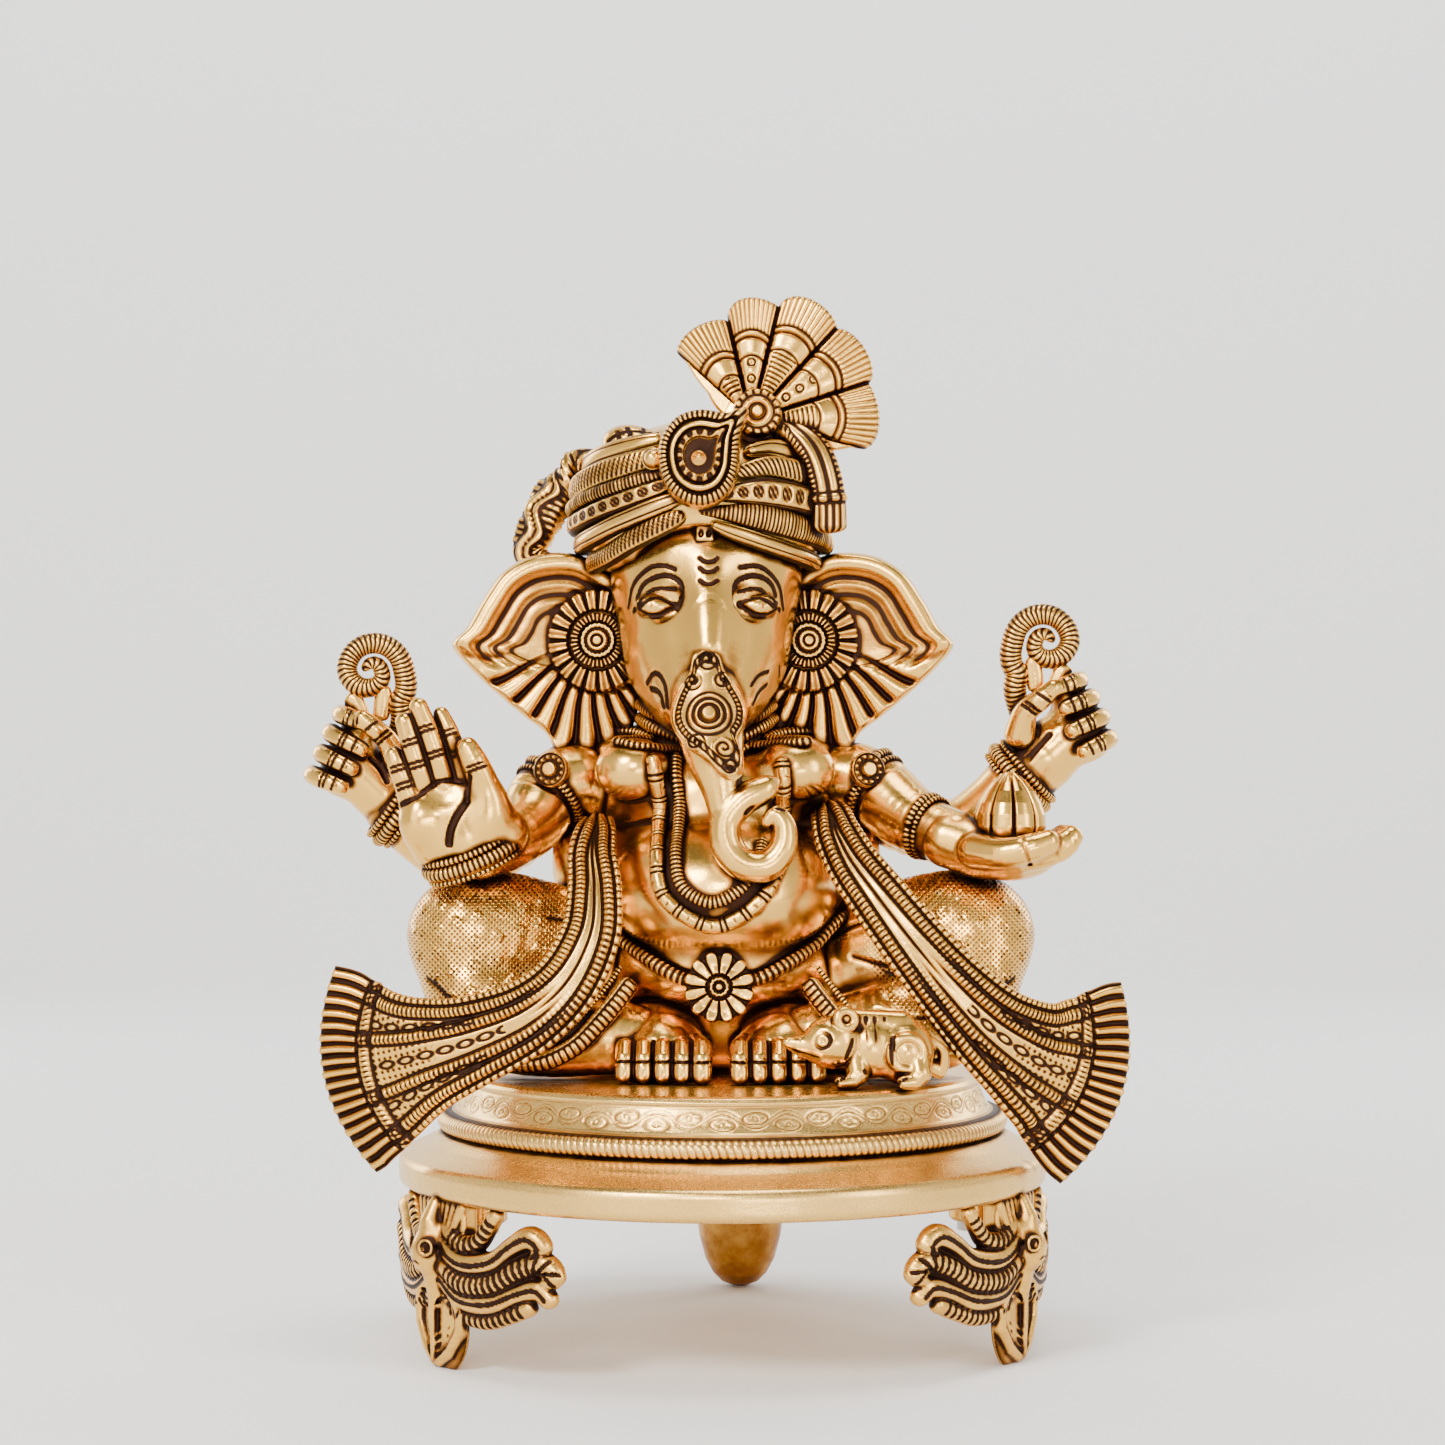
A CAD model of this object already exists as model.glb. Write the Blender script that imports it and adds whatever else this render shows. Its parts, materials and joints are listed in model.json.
# Looks for a seated elephant-headed figure in cast brass on a round three-legged stool.
# Figure coordinates are millimetres: x to the viewer's right, y away from the viewer,
# z up from the top of the stool. Each piece is sculpted from distance fields, lofts and reliefs.
import json
import math

import bpy
import numpy as np
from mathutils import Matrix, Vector


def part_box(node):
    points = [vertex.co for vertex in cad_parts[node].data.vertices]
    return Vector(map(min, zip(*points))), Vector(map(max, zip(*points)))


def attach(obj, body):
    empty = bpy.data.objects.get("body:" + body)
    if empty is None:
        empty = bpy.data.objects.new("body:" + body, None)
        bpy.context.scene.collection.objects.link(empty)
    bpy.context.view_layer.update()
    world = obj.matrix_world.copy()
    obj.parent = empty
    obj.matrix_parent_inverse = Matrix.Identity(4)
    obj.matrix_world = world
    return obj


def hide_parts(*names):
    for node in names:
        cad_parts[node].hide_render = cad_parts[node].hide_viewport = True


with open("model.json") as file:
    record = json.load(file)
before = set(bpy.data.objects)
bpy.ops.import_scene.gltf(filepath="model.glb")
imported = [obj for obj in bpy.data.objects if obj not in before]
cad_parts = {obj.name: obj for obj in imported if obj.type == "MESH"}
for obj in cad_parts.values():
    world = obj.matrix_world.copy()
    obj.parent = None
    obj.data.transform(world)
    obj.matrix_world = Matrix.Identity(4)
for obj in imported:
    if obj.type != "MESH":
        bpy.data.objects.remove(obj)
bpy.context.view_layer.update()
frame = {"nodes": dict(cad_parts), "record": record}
NODES = frame["nodes"]
SLOT_OF = {s["node"]: s["material_slot"] for s in frame["record"]["subparts"]}
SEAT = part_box("chowki_plinth")[1][2] * 1000
MM = 0.001
VOXEL = 0.5
TURN = 2 * math.pi


# ---- Vectors and curves ----

def arr(points):
    return np.asarray(points, dtype=np.float64)


def unit(v):
    v = arr(v)
    return v / np.maximum(np.linalg.norm(v, axis=-1, keepdims=True), 1e-9)


def smoothstep(lo, hi, x):
    t = np.clip((x - lo) / (hi - lo), 0, 1)
    return t * t * (3 - 2 * t)


def bump(x, width):
    """1 at x = 0, falling smoothly to 0 at distance width."""
    return np.exp(-(x / width) ** 2)


def nearest(x, pitch):
    """Distance from x to the nearest multiple of pitch."""
    phase = x / pitch
    return np.abs(phase - np.round(phase)) * pitch


def comb(x):
    """1 at every whole x, 0 half way between."""
    return np.abs(x % 1 - 0.5) * 2


def wheel(t, count):
    """1 on each of count even spokes, 0 half way between."""
    return comb(t * count / TURN)


def spline(points, step=1.0):
    """Smooth curve through rows of any number of columns, at even steps of its first three."""
    p = arr(points)
    p = np.vstack([2 * p[0] - p[1], p, 2 * p[-1] - p[-2]])
    out = []
    for i in range(1, len(p) - 2):
        a, b, c, d = p[i - 1:i + 3]
        t = np.linspace(0, 1, 24, endpoint=False)[:, None]
        out.append(0.5 * (2 * b + (c - a) * t + (2 * a - 5 * b + 4 * c - d) * t ** 2
                          + (3 * b - a - 3 * c + d) * t ** 3))
    fine = np.vstack(out + [p[-2:-1]])
    along = np.concatenate([[0], np.cumsum(np.linalg.norm(np.diff(fine[:, :3], axis=0), axis=1))])
    count = max(4, int(along[-1] / step) + 1)
    at = np.linspace(0, along[-1], count)
    return np.stack([np.interp(at, along, fine[:, k]) for k in range(fine.shape[1])], axis=1)


def drawn(line, step=1.5):
    """Smooth line through points [x, z]."""
    return spline([(a, 0, b) for a, b in line], step)[:, [0, 2]]


def mirror_x(points, about):
    q = arr(points).copy()
    q[..., 0] = 2 * about - q[..., 0]
    return q


# ---- Distance-field shapes: (function, low corner, high corner) ----

def boxed(fn, points, reach):
    p = arr(points).reshape(-1, 3)
    return fn, p.min(0) - reach, p.max(0) + reach


def turned(angles):
    """Rotation matrix from turns about x, y, z in degrees."""
    m = np.eye(3)
    for axis, angle in enumerate(angles):
        c, s = math.cos(math.radians(angle)), math.sin(math.radians(angle))
        i, j = (axis + 1) % 3, (axis + 2) % 3
        r = np.eye(3)
        r[i, i], r[i, j], r[j, i], r[j, j] = c, -s, s, c
        m = r @ m
    return m


def egg(centre, radii, angles=(0, 0, 0)):
    c, r, m = arr(centre).astype(np.float32), arr(radii).astype(np.float32), turned(angles).astype(np.float32)

    def fn(p):
        q = (p - c) @ m
        k0 = np.sqrt(np.sum((q / r) ** 2, -1)) + 1e-6
        k1 = np.sqrt(np.sum((q / (r * r)) ** 2, -1)) + 1e-6
        return k0 * (k0 - 1) / k1
    return boxed(fn, [centre], float(max(radii)))


def rod(points):
    """Chain of round segments through rows [x, y, z, radius]."""
    q = arr(points).astype(np.float32)

    def fn(p):
        best = None
        for a, b in zip(q[:-1], q[1:]):
            ab = b[:3] - a[:3]
            pa = p - a[:3]
            t = np.clip(pa @ ab / max(float(ab @ ab), 1e-9), 0, 1)
            d = np.sqrt(np.sum((pa - t[:, None] * ab) ** 2, -1)) - (a[3] + (b[3] - a[3]) * t)
            best = d if best is None else np.minimum(best, d)
        return best
    return boxed(fn, q[:, :3], float(q[:, 3].max()))


def wire(points, radius):
    """Thin rod of one radius on a smooth curve."""
    p = spline(points, 1.5)[:, :3]
    return rod(np.column_stack([p, np.full(len(p), radius)]))


def slab(centre, half, rounding=0.5):
    c, h = arr(centre).astype(np.float32), arr(half).astype(np.float32) - rounding

    def fn(p):
        q = np.abs(p - c) - h
        return np.sqrt(np.sum(np.maximum(q, 0) ** 2, -1)) + np.minimum(q.max(-1), 0) - rounding
    return boxed(fn, [centre], float(np.linalg.norm(half)))


def hoop(centre, axis, ring, section):
    c, a = arr(centre).astype(np.float32), unit(axis).astype(np.float32)

    def fn(p):
        q = p - c
        up = q @ a
        out = np.sqrt(np.maximum(np.sum(q * q, -1) - up * up, 0)) - ring
        return np.sqrt(out * out + up * up) - section
    return boxed(fn, [centre], ring + section)


# ---- Sculpting: an ordered list of steps, meshed by surface nets ----

FAR = 30.0
REACH = 5.0
BATCH = 1500


class Sculpt:
    def __init__(self):
        self.steps = []
        self.inked = []

    def add(self, shape, blend=0.0):
        self.steps.append(("add", shape, blend))
        return self

    def cut(self, shape, blend=0.0):
        self.steps.append(("cut", shape, blend))
        return self

    def push(self, fn, low, high):
        """Moves the surface out by fn(points) millimetres within a box."""
        self.steps.append(("push", (fn, arr(low), arr(high)), 0.0))
        return self

    def groove(self, points, radius=0.55, blend=0.4):
        shape = wire(points, radius)
        self.inked.append(shape)
        return self.cut(shape, blend)

    def ink(self, p):
        """How much patina the engraved lines hold at each point."""
        dark = np.zeros(len(p))
        for fn, low, high in self.inked:
            near = np.where(np.all((p > low - 0.6) & (p < high + 0.6), axis=1))[0]
            if len(near):
                dark[near] = np.maximum(dark[near], smoothstep(0.3, 0.0, fn(p[near].astype(np.float32))))
        return dark

    def ridge(self, points, radius=0.7, blend=0.6):
        return self.add(wire(points, radius), blend)

    def floor(self):
        """Flat underside on the seat."""
        fn = lambda p: -p[:, 2]
        self.steps.append(("keep", (fn, arr([-400] * 3), arr([400] * 3)), 0.0))
        return self

    def box(self):
        low = np.min([s[1][1] for s in self.steps if s[0] == "add"], axis=0)
        high = np.max([s[1][2] for s in self.steps if s[0] == "add"], axis=0)
        return low, high

    def field(self, p, low, high):
        """Distances at p (groups, n, 3), where each group lies in the box low..high."""
        d = np.full(p.shape[:2], FAR, dtype=np.float32)
        for kind, (fn, lo, hi), k in self.steps:
            room = REACH + k if kind != "push" else 0.0
            near = np.all((high > lo - room) & (low < hi + room), axis=1)
            if not near.any():
                continue
            f = fn(p[near].reshape(-1, 3)).reshape(-1, p.shape[1]).astype(np.float32)
            old = d[near]
            if kind == "push":
                d[near] = old - f
                continue
            if kind == "cut":
                f = -f
            h = np.maximum(k - np.abs(old - f), 0) / k if k > 0 else 0.0
            soft = h * h * k * 0.25
            d[near] = np.minimum(old, f) - soft if kind == "add" else np.maximum(old, f) + soft
        return d

    def at(self, points):
        p = arr(points).astype(np.float32)
        return self.field(p[:, None, :], p, p)[:, 0]

    def front(self, xz, lift=0.0, start=-80.0):
        """Points (x, z) dropped on the surface from the front, or from a start behind, as x, y, z."""
        q = arr(xz)
        p = np.stack([q[:, 0], np.full(len(q), start), q[:, 1]], axis=1)
        for _ in range(60):
            p[:, 1] -= math.copysign(0.8, start) * np.clip(self.at(p) - lift, -4, 4)
        p[:, 1] = np.clip(p[:, 1], min(start, -60), max(start, 60))
        return p


def mesh_field(sculpt, voxel=None):
    """Surface nets on a grid that is only filled near the surface."""
    h = voxel or VOXEL
    low, high = sculpt.box()
    low, high = low - 2 * h, high + 2 * h
    side = 8
    blocks = np.ceil((high - low) / (h * side)).astype(int) + 1
    grid = np.stack(np.meshgrid(*[np.arange(b) for b in blocks], indexing="ij"), -1).reshape(-1, 3)
    span = h * side
    centres = (low + (grid + 0.5) * span).astype(np.float32)
    coarse = sculpt.field(centres[:, None, :], centres, centres)[:, 0]
    near = np.abs(coarse) < span * 0.95 + 1.0
    size = blocks * side
    dense = np.repeat(np.repeat(np.repeat(
        np.where(coarse < 0, -9.0, 9.0).astype(np.float32).reshape(blocks), side, 0), side, 1), side, 2)
    local = np.stack(np.meshgrid(*[np.arange(side)] * 3, indexing="ij"), -1).reshape(-1, 3)
    active = grid[near]
    for i in range(0, len(active), BATCH):
        part = active[i:i + BATCH]
        base = (low + part * span).astype(np.float32)
        points = base[:, None, :] + (local * h).astype(np.float32)[None]
        d = sculpt.field(points, base, base + span)
        where = part[:, None, :] * side + local[None]
        dense[where[..., 0], where[..., 1], where[..., 2]] = d
    inside = dense < 0
    cell = np.zeros(size - 1, dtype=np.uint8)
    corners = [(i, j, k) for i in (0, 1) for j in (0, 1) for k in (0, 1)]
    for i, j, k in corners:
        cell += inside[i:size[0] - 1 + i, j:size[1] - 1 + j, k:size[2] - 1 + k]
    idx = np.argwhere((cell > 0) & (cell < 8))
    total, count = np.zeros((len(idx), 3)), np.zeros(len(idx))
    for a in corners:
        for axis in range(3):
            if a[axis]:
                continue
            b = list(a)
            b[axis] = 1
            va = dense[tuple((idx + a).T)]
            vb = dense[tuple((idx + b).T)]
            cross = (va < 0) != (vb < 0)
            t = np.where(cross, va / np.where(cross, va - vb, 1), 0)
            pos = np.tile(arr(a), (len(idx), 1))
            pos[:, axis] += t
            total += pos * cross[:, None]
            count += cross
    verts = low + (idx + total / count[:, None]) * h
    number = np.full(size - 1, -1, dtype=np.int32)
    number[tuple(idx.T)] = np.arange(len(idx))
    quads = []
    for axis in range(3):
        u, v = (axis + 1) % 3, (axis + 2) % 3
        first = [slice(1, n - 1) for n in size]
        second = list(first)
        first[axis] = slice(0, size[axis] - 1)
        second[axis] = slice(1, size[axis])
        a, b = inside[tuple(first)], inside[tuple(second)]
        edge = np.argwhere(a != b)
        offset = np.array([1, 1, 1])
        offset[axis] = 0
        edge = edge + offset
        forward = inside[tuple(edge.T)]
        du, dv = np.eye(3, dtype=int)[u], np.eye(3, dtype=int)[v]
        ring = [edge - du - dv, edge - dv, edge, edge - du]
        q = np.stack([number[tuple(r.T)] for r in ring], axis=1)
        quads.append(np.where(forward[:, None], q, q[:, ::-1]))
    quads = np.vstack(quads)
    quads = quads[(quads >= 0).all(1)]
    return finish_field(sculpt, verts, quads, h)


def finish_field(sculpt, verts, quads, h):
    """Settles the points on the surface and measures how hollow it is around each."""
    e = 0.4 * h
    corners = arr([[1, -1, -1], [-1, -1, 1], [-1, 1, -1], [1, 1, 1]])
    for _ in range(2):
        f = np.stack([sculpt.at(verts + e * c) for c in corners], axis=1)
        slope = (f[:, :, None] * corners[None]).sum(1) / (4 * e)
        steep = np.maximum(np.linalg.norm(slope, axis=1, keepdims=True), 0.35)
        normal = slope / steep
        verts = verts - normal * np.clip(f.mean(1)[:, None] / steep, -0.6 * h, 0.6 * h)
    cavity = np.zeros(len(verts))
    for reach, share in ((0.7, 0.6), (2.4, 0.9)):
        out = sculpt.at(verts + normal * reach)
        cavity += share * np.clip(1 - out / reach, 0, 1)
    return Shell(verts, quads, None, np.maximum(np.clip(cavity * 1.3 - 0.12, 0, 1), sculpt.ink(verts)))


# ---- Shells: raw meshes that are joined into pieces ----

class Shell:
    def __init__(self, verts, quads, tris=None, cavity=None, weave=None):
        self.verts = arr(verts)
        self.quads = np.asarray(quads, dtype=np.int64).reshape(-1, 4)
        self.tris = np.asarray(tris if tris is not None else [], dtype=np.int64).reshape(-1, 3)
        n = len(self.verts)
        self.cavity = np.zeros(n) if cavity is None else np.broadcast_to(cavity, (n,)).astype(float)
        self.weave = np.zeros(n) if weave is None else np.broadcast_to(weave, (n,)).astype(float)

    def moved(self, fn):
        return Shell(fn(self.verts), self.quads, self.tris, self.cavity, self.weave)

    def mirrored(self, about):
        s = self.moved(lambda v: mirror_x(v, about))
        s.quads, s.tris = s.quads[:, ::-1], s.tris[:, ::-1]
        return s


def joined(shells):
    base, quads, tris = 0, [], []
    for s in shells:
        quads.append(s.quads + base)
        tris.append(s.tris + base)
        base += len(s.verts)
    return Shell(np.vstack([s.verts for s in shells]), np.vstack(quads), np.vstack(tris),
                 np.concatenate([s.cavity for s in shells]), np.concatenate([s.weave for s in shells]))


def loft(path, side=None, relief=None, sides=20, power=2.0, step=0.6, cap=None, bow=None):
    """Closed tube through rows [x, y, z, half width, half depth]; relief(s, a, b, length) pushes it out.

    s is the distance along, a and b are -1..1 across the width and the depth; bow(s, a, length) slides
    points along the path. Without a side the width faces the front."""
    rows = spline(path, step)
    centre, half, depth = rows[:, :3], rows[:, 3], rows[:, 4]
    way = unit(np.gradient(centre, axis=0))
    across = np.cross(way, [0, -1, 0]) if side is None else np.broadcast_to(arr(side), centre.shape)
    across = unit(across - (across * way).sum(1, keepdims=True) * way)
    out = np.cross(way, across)
    along = np.concatenate([[0], np.cumsum(np.linalg.norm(np.diff(centre, axis=0), axis=1))])
    end = cap if cap is not None else float(min(depth.min() * 1.2, 2.5))
    edge = np.minimum(along, along[-1] - along)
    close = np.sqrt(np.clip(1 - (1 - np.clip(edge / max(end, 1e-3), 0, 1)) ** 2, 0.0, 1)) if end > 0 else 1
    close = np.maximum(close, 0.02)
    phi = np.linspace(0, TURN, sides, endpoint=False)
    c, s = np.cos(phi), np.sin(phi)
    a = np.sign(c) * np.abs(c) ** (2 / power)
    b = np.sign(s) * np.abs(s) ** (2 / power)
    if power > 3:
        a = 0.6 * (np.abs(phi / math.pi - 1) * 2 - 1) + 0.4 * c
        b = np.sign(s) * np.clip(1 - np.abs(a) ** power, 0, 1) ** (1 / power)
    u = half[:, None] * a[None] * (close[:, None] if power < 3 else 1)
    v = depth[:, None] * b[None] * close[:, None]
    nu, nv = u / half[:, None] ** 2, v / depth[:, None] ** 2
    size = np.maximum(np.sqrt(nu ** 2 + nv ** 2), 1e-9)
    cavity = np.zeros_like(u)
    if relief:
        push, cavity = relief(along[:, None], a[None] + 0 * u, b[None] + 0 * u, along[-1])
        push = push * close[:, None]
        u, v = u + push * nu / size, v + push * nv / size
    verts = centre[:, None] + u[..., None] * across[:, None] + v[..., None] * out[:, None]
    if bow:
        verts = verts + way[:, None] * bow(along[:, None], a[None] + 0 * u, along[-1])[..., None]
    n, m = u.shape
    k = np.arange(n * m).reshape(n, m)
    right = np.roll(k, -1, axis=1)
    quads = np.stack([k[:-1], right[:-1], right[1:], k[1:]], -1).reshape(-1, 4)
    ends = np.vstack([verts[0].mean(0), verts[-1].mean(0)])
    if bow:
        ends[1] = centre[-1]
    tris = np.vstack([np.stack([right[0], k[0], np.full(m, n * m)], -1),
                      np.stack([k[-1], right[-1], np.full(m, n * m + 1)], -1)])
    return Shell(np.vstack([verts.reshape(-1, 3), ends]), quads, tris,
                 np.concatenate([np.broadcast_to(cavity, u.shape).reshape(-1), [0, 0]]))


def ribs(pitch, depth, width, twist=0.0):
    """Cross grooves along a cord."""
    def relief(s, a, b, length):
        g = bump(nearest(s + twist * a, pitch), width * pitch)
        return -depth * g, g
    return relief


def cord(points, radius, pitch, depth):
    """Round cord with cross grooves through points [x, y, z]."""
    p = arr(points)
    rows = np.column_stack([p[:, :3], np.full(len(p), radius), np.full(len(p), radius)])
    return loft(rows, (0, 0, 1), ribs(pitch, depth, 0.22), 16, step=pitch / 5)


def ring_path(centre, axis, radius, count):
    """Points of a full circle round an axis."""
    a = unit(axis)
    u = unit(np.cross(a, [0, 0, 1]) if abs(a[2]) < 0.95 else np.cross(a, [1, 0, 0]))
    v = np.cross(a, u)
    t = np.radians(np.linspace(0, 360, count))
    return arr(centre) + radius * (np.cos(t)[:, None] * u + np.sin(t)[:, None] * v)


def medal(centre, axis, up, height, outline, back=2.0, rings=60, spokes=200, edge=0.8, behind=None):
    """Shaped boss: height(rho, t, x, z) over an outline of radius outline(t); rho is 0..1 from the middle."""
    a = unit(axis)
    x_way = unit(np.cross(unit(up), a))
    z_way = np.cross(a, x_way)
    t = np.linspace(0, TURN, spokes, endpoint=False)
    rim = outline(t)
    shells = []
    for face, count in ((1, rings), (-1, rings if behind else 10)):
        rho = (np.arange(count + 1) / count)[1:] ** 0.9
        rho = np.concatenate([[0.002], rho])
        rr, tt = rho[:, None] * rim[None], np.broadcast_to(t, (len(rho), spokes))
        x, z = rr * np.cos(tt), rr * np.sin(tt)
        fall = np.sqrt(np.clip(1 - np.clip((rr - (rim - edge)) / edge, 0, 1) ** 2, 0, 1))
        if face > 0:
            h, cav = height(rho[:, None] + 0 * rr, tt, x, z)
            h = h * fall
        elif behind:
            h, cav = behind(rho[:, None] + 0 * rr, tt, x, z)
            h = -back * fall - h * fall
        else:
            h, cav = -back * fall, 0.15 + 0 * rr
        verts = arr(centre) + x[..., None] * x_way + z[..., None] * z_way + h[..., None] * a
        k = np.arange(rr.size).reshape(rr.shape)
        right = np.roll(k, -1, axis=1)
        quads = np.stack([k[:-1], k[1:], right[1:], right[:-1]], -1).reshape(-1, 4)
        shells.append(Shell(verts.reshape(-1, 3), quads[:, ::face], None,
                            np.broadcast_to(cav, rr.shape).reshape(-1)))
    return joined(shells)


def traced(points):
    """Radius of a closed smooth outline seen from the origin, as a function of the angle."""
    p = spline(np.column_stack([arr(points + points[:1]), np.zeros(len(points) + 1)]), 0.5)[:, :2]
    t, r = np.arctan2(p[:, 1], p[:, 0]), np.hypot(p[:, 0], p[:, 1])
    order = np.argsort(t)
    return lambda a: np.interp(a, t[order], r[order], period=TURN)


def lathe(profile, spokes=360, relief=None, step=0.5, centre=(0, 0)):
    """Closed solid of revolution through corner points [radius, z]; relief(theta, s, r, z) pushes it out."""
    p = arr(profile)
    s = np.concatenate([[0], np.cumsum(np.linalg.norm(np.diff(p, axis=0), axis=1))])
    at = np.unique(np.concatenate([np.arange(0, s[-1], step), s]))
    r, z = np.interp(at, s, p[:, 0]), np.interp(at, s, p[:, 1])
    nr, nz = np.gradient(z, at), -np.gradient(r, at)
    t = np.linspace(0, TURN, spokes, endpoint=False)
    push, cavity = np.zeros((len(at), spokes)), np.zeros((len(at), spokes))
    if relief:
        push, cavity = relief(t[None] + 0 * at[:, None], at[:, None] + 0 * t[None], r[:, None], z[:, None])
    rr, zz = r[:, None] + push * nr[:, None], z[:, None] + push * nz[:, None]
    verts = np.stack([centre[0] + rr * np.cos(t), centre[1] + rr * np.sin(t), zz + 0 * t], -1)
    n, m = rr.shape
    k = np.arange(n * m).reshape(n, m)
    right = np.roll(k, -1, axis=1)
    quads = np.stack([k[:-1], right[:-1], right[1:], k[1:]], -1).reshape(-1, 4)
    ends = np.array([[centre[0], centre[1], z[0]], [centre[0], centre[1], z[-1]]])
    tris = np.vstack([np.stack([right[0], k[0], np.full(m, n * m)], -1),
                      np.stack([k[-1], right[-1], np.full(m, n * m + 1)], -1)])
    return Shell(np.vstack([verts.reshape(-1, 3), ends]), quads, tris,
                 np.concatenate([np.broadcast_to(cavity, rr.shape).reshape(-1), [0, 0]]))


# ---- Materials ----

def node(tree, kind, **values):
    n = tree.nodes.new(kind)
    for key, value in values.items():
        if key in n.inputs:
            n.inputs[key].default_value = value
        else:
            setattr(n, key, value)
    return n


def math_node(tree, operation, a, b=None, clamp=False):
    n = tree.nodes.new("ShaderNodeMath")
    n.operation, n.use_clamp = operation, clamp
    for i, value in enumerate((a, b)):
        if value is None:
            continue
        if isinstance(value, (int, float)):
            n.inputs[i].default_value = value
        else:
            tree.links.new(value, n.inputs[i])
    return n.outputs[0]


def ramp(tree, factor, stops):
    n = tree.nodes.new("ShaderNodeValToRGB")
    n.color_ramp.elements[0].position, n.color_ramp.elements[0].color = stops[0][0], (*stops[0][1], 1)
    n.color_ramp.elements[1].position, n.color_ramp.elements[1].color = stops[-1][0], (*stops[-1][1], 1)
    for position, colour in stops[1:-1]:
        n.color_ramp.elements.new(position).color = (*colour, 1)
    tree.links.new(factor, n.inputs[0])
    return n.outputs[0]


CLOTH_PITCH = 0.0017


def brass(name, bright, middle, dark, patina, rough, grain=1.0):
    """Polished cast brass: bright on the high places, brown patina in hollows and cuts."""
    mat = bpy.data.materials.new(name)
    mat.use_nodes = True
    tree = mat.node_tree
    link = tree.links.new
    calc = lambda *terms, **options: math_node(tree, *terms, **options)
    shader = tree.nodes["Principled BSDF"]
    place = node(tree, "ShaderNodeTexCoord").outputs["Object"]

    def noise(scale, detail=3.0, stretch=None):
        source = place
        if stretch:
            mapping = node(tree, "ShaderNodeMapping", Scale=stretch)
            link(place, mapping.inputs["Vector"])
            source = mapping.outputs[0]
        n = node(tree, "ShaderNodeTexNoise", Scale=scale, Detail=detail, Roughness=0.6)
        link(source, n.inputs["Vector"])
        return n.outputs[0]
    cloud, mottle, grit = noise(38.0), noise(190.0, 4.0), noise(1300.0, 2.0)
    brush = noise(420.0, 2.0, (1.0, 1.0, 5.0))
    hollow = node(tree, "ShaderNodeAttribute", attribute_name="cavity").outputs["Fac"]
    weave = node(tree, "ShaderNodeAttribute", attribute_name="weave").outputs["Fac"]
    xyz = node(tree, "ShaderNodeSeparateXYZ")
    link(place, xyz.inputs[0])
    turn = TURN / CLOTH_PITCH
    along = calc("ADD", xyz.outputs[0], xyz.outputs[2])
    slant = calc("SUBTRACT", xyz.outputs[0], xyz.outputs[2])
    wave_a = calc("SINE", calc("MULTIPLY", along, turn))
    wave_b = calc("SINE", calc("MULTIPLY", slant, turn))
    pits = calc("MULTIPLY", calc("ADD", wave_a, wave_b), 0.5)
    pits = calc("MULTIPLY", calc("SUBTRACT", pits, 0.05), 2.2, clamp=True)
    pits = calc("MULTIPLY", pits, weave)
    stain = calc("MULTIPLY", calc("SUBTRACT", cloud, 0.5), 0.5)
    speck = calc("MULTIPLY", calc("SUBTRACT", mottle, 0.5), 0.35)
    age = calc("ADD", calc("MULTIPLY", hollow, patina), calc("ADD", stain, speck))
    age = calc("ADD", age, calc("MULTIPLY", pits, 0.55), clamp=True)
    link(ramp(tree, age, [(0.0, bright), (0.16, bright), (0.42, middle), (0.72, dark), (1.0, dark)]),
         shader.inputs["Base Color"])
    gloss = calc("ADD", calc("MULTIPLY", age, 0.32), rough)
    gloss = calc("ADD", gloss, calc("MULTIPLY", calc("SUBTRACT", grit, 0.5), 0.16), clamp=True)
    link(gloss, shader.inputs["Roughness"])
    metal = calc("SUBTRACT", 1.0, calc("MULTIPLY", calc("SUBTRACT", age, 0.55, clamp=True), 0.3), clamp=True)
    link(metal, shader.inputs["Metallic"])
    height = calc("ADD", calc("MULTIPLY", grit, 0.5 * grain), calc("MULTIPLY", brush, 0.4 * grain))
    height = calc("ADD", height, calc("MULTIPLY", mottle, 1.6 * grain))
    height = calc("SUBTRACT", height, calc("MULTIPLY", pits, 6.0))
    relief = node(tree, "ShaderNodeBump", Strength=0.4, Distance=0.00013)
    link(height, relief.inputs["Height"])
    link(relief.outputs[0], shader.inputs["Normal"])
    return mat


LOOKS = {"body_brass": ((0.84, 0.47, 0.09), (0.36, 0.14, 0.022), (0.026, 0.008, 0.003), 1.1, 0.2),
         "relief_brass": ((0.82, 0.46, 0.09), (0.33, 0.13, 0.022), (0.024, 0.008, 0.003), 1.35, 0.23, 1.2),
         "stool_brass": ((0.80, 0.49, 0.13), (0.42, 0.2, 0.045), (0.04, 0.015, 0.006), 1.0, 0.27)}
BRASS = {name: brass(name, *look) for name, look in LOOKS.items()}


def steel_finish():
    mat = bpy.data.materials.new("zinc_steel")
    mat.use_nodes = True
    tree = mat.node_tree
    link = tree.links.new
    calc = lambda *terms, **options: math_node(tree, *terms, **options)
    shader = tree.nodes["Principled BSDF"]
    shader.inputs["Metallic"].default_value = 1.0
    n = node(tree, "ShaderNodeTexNoise", Scale=700.0, Detail=3.0)
    link(node(tree, "ShaderNodeTexCoord").outputs["Object"], n.inputs["Vector"])
    link(ramp(tree, n.outputs[0], [(0.3, (0.5, 0.5, 0.48)), (0.7, (0.66, 0.66, 0.64))]),
         shader.inputs["Base Color"])
    link(calc("ADD", calc("MULTIPLY", n.outputs[0], 0.3), 0.25), shader.inputs["Roughness"])
    return mat


# ---- Pieces ----

PIECES = []


def make(name, shells, *nodes):
    """Queues one visual piece that stands for one or more CAD nodes."""
    PIECES.append((name, joined(shells), nodes or (name,)))


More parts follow.
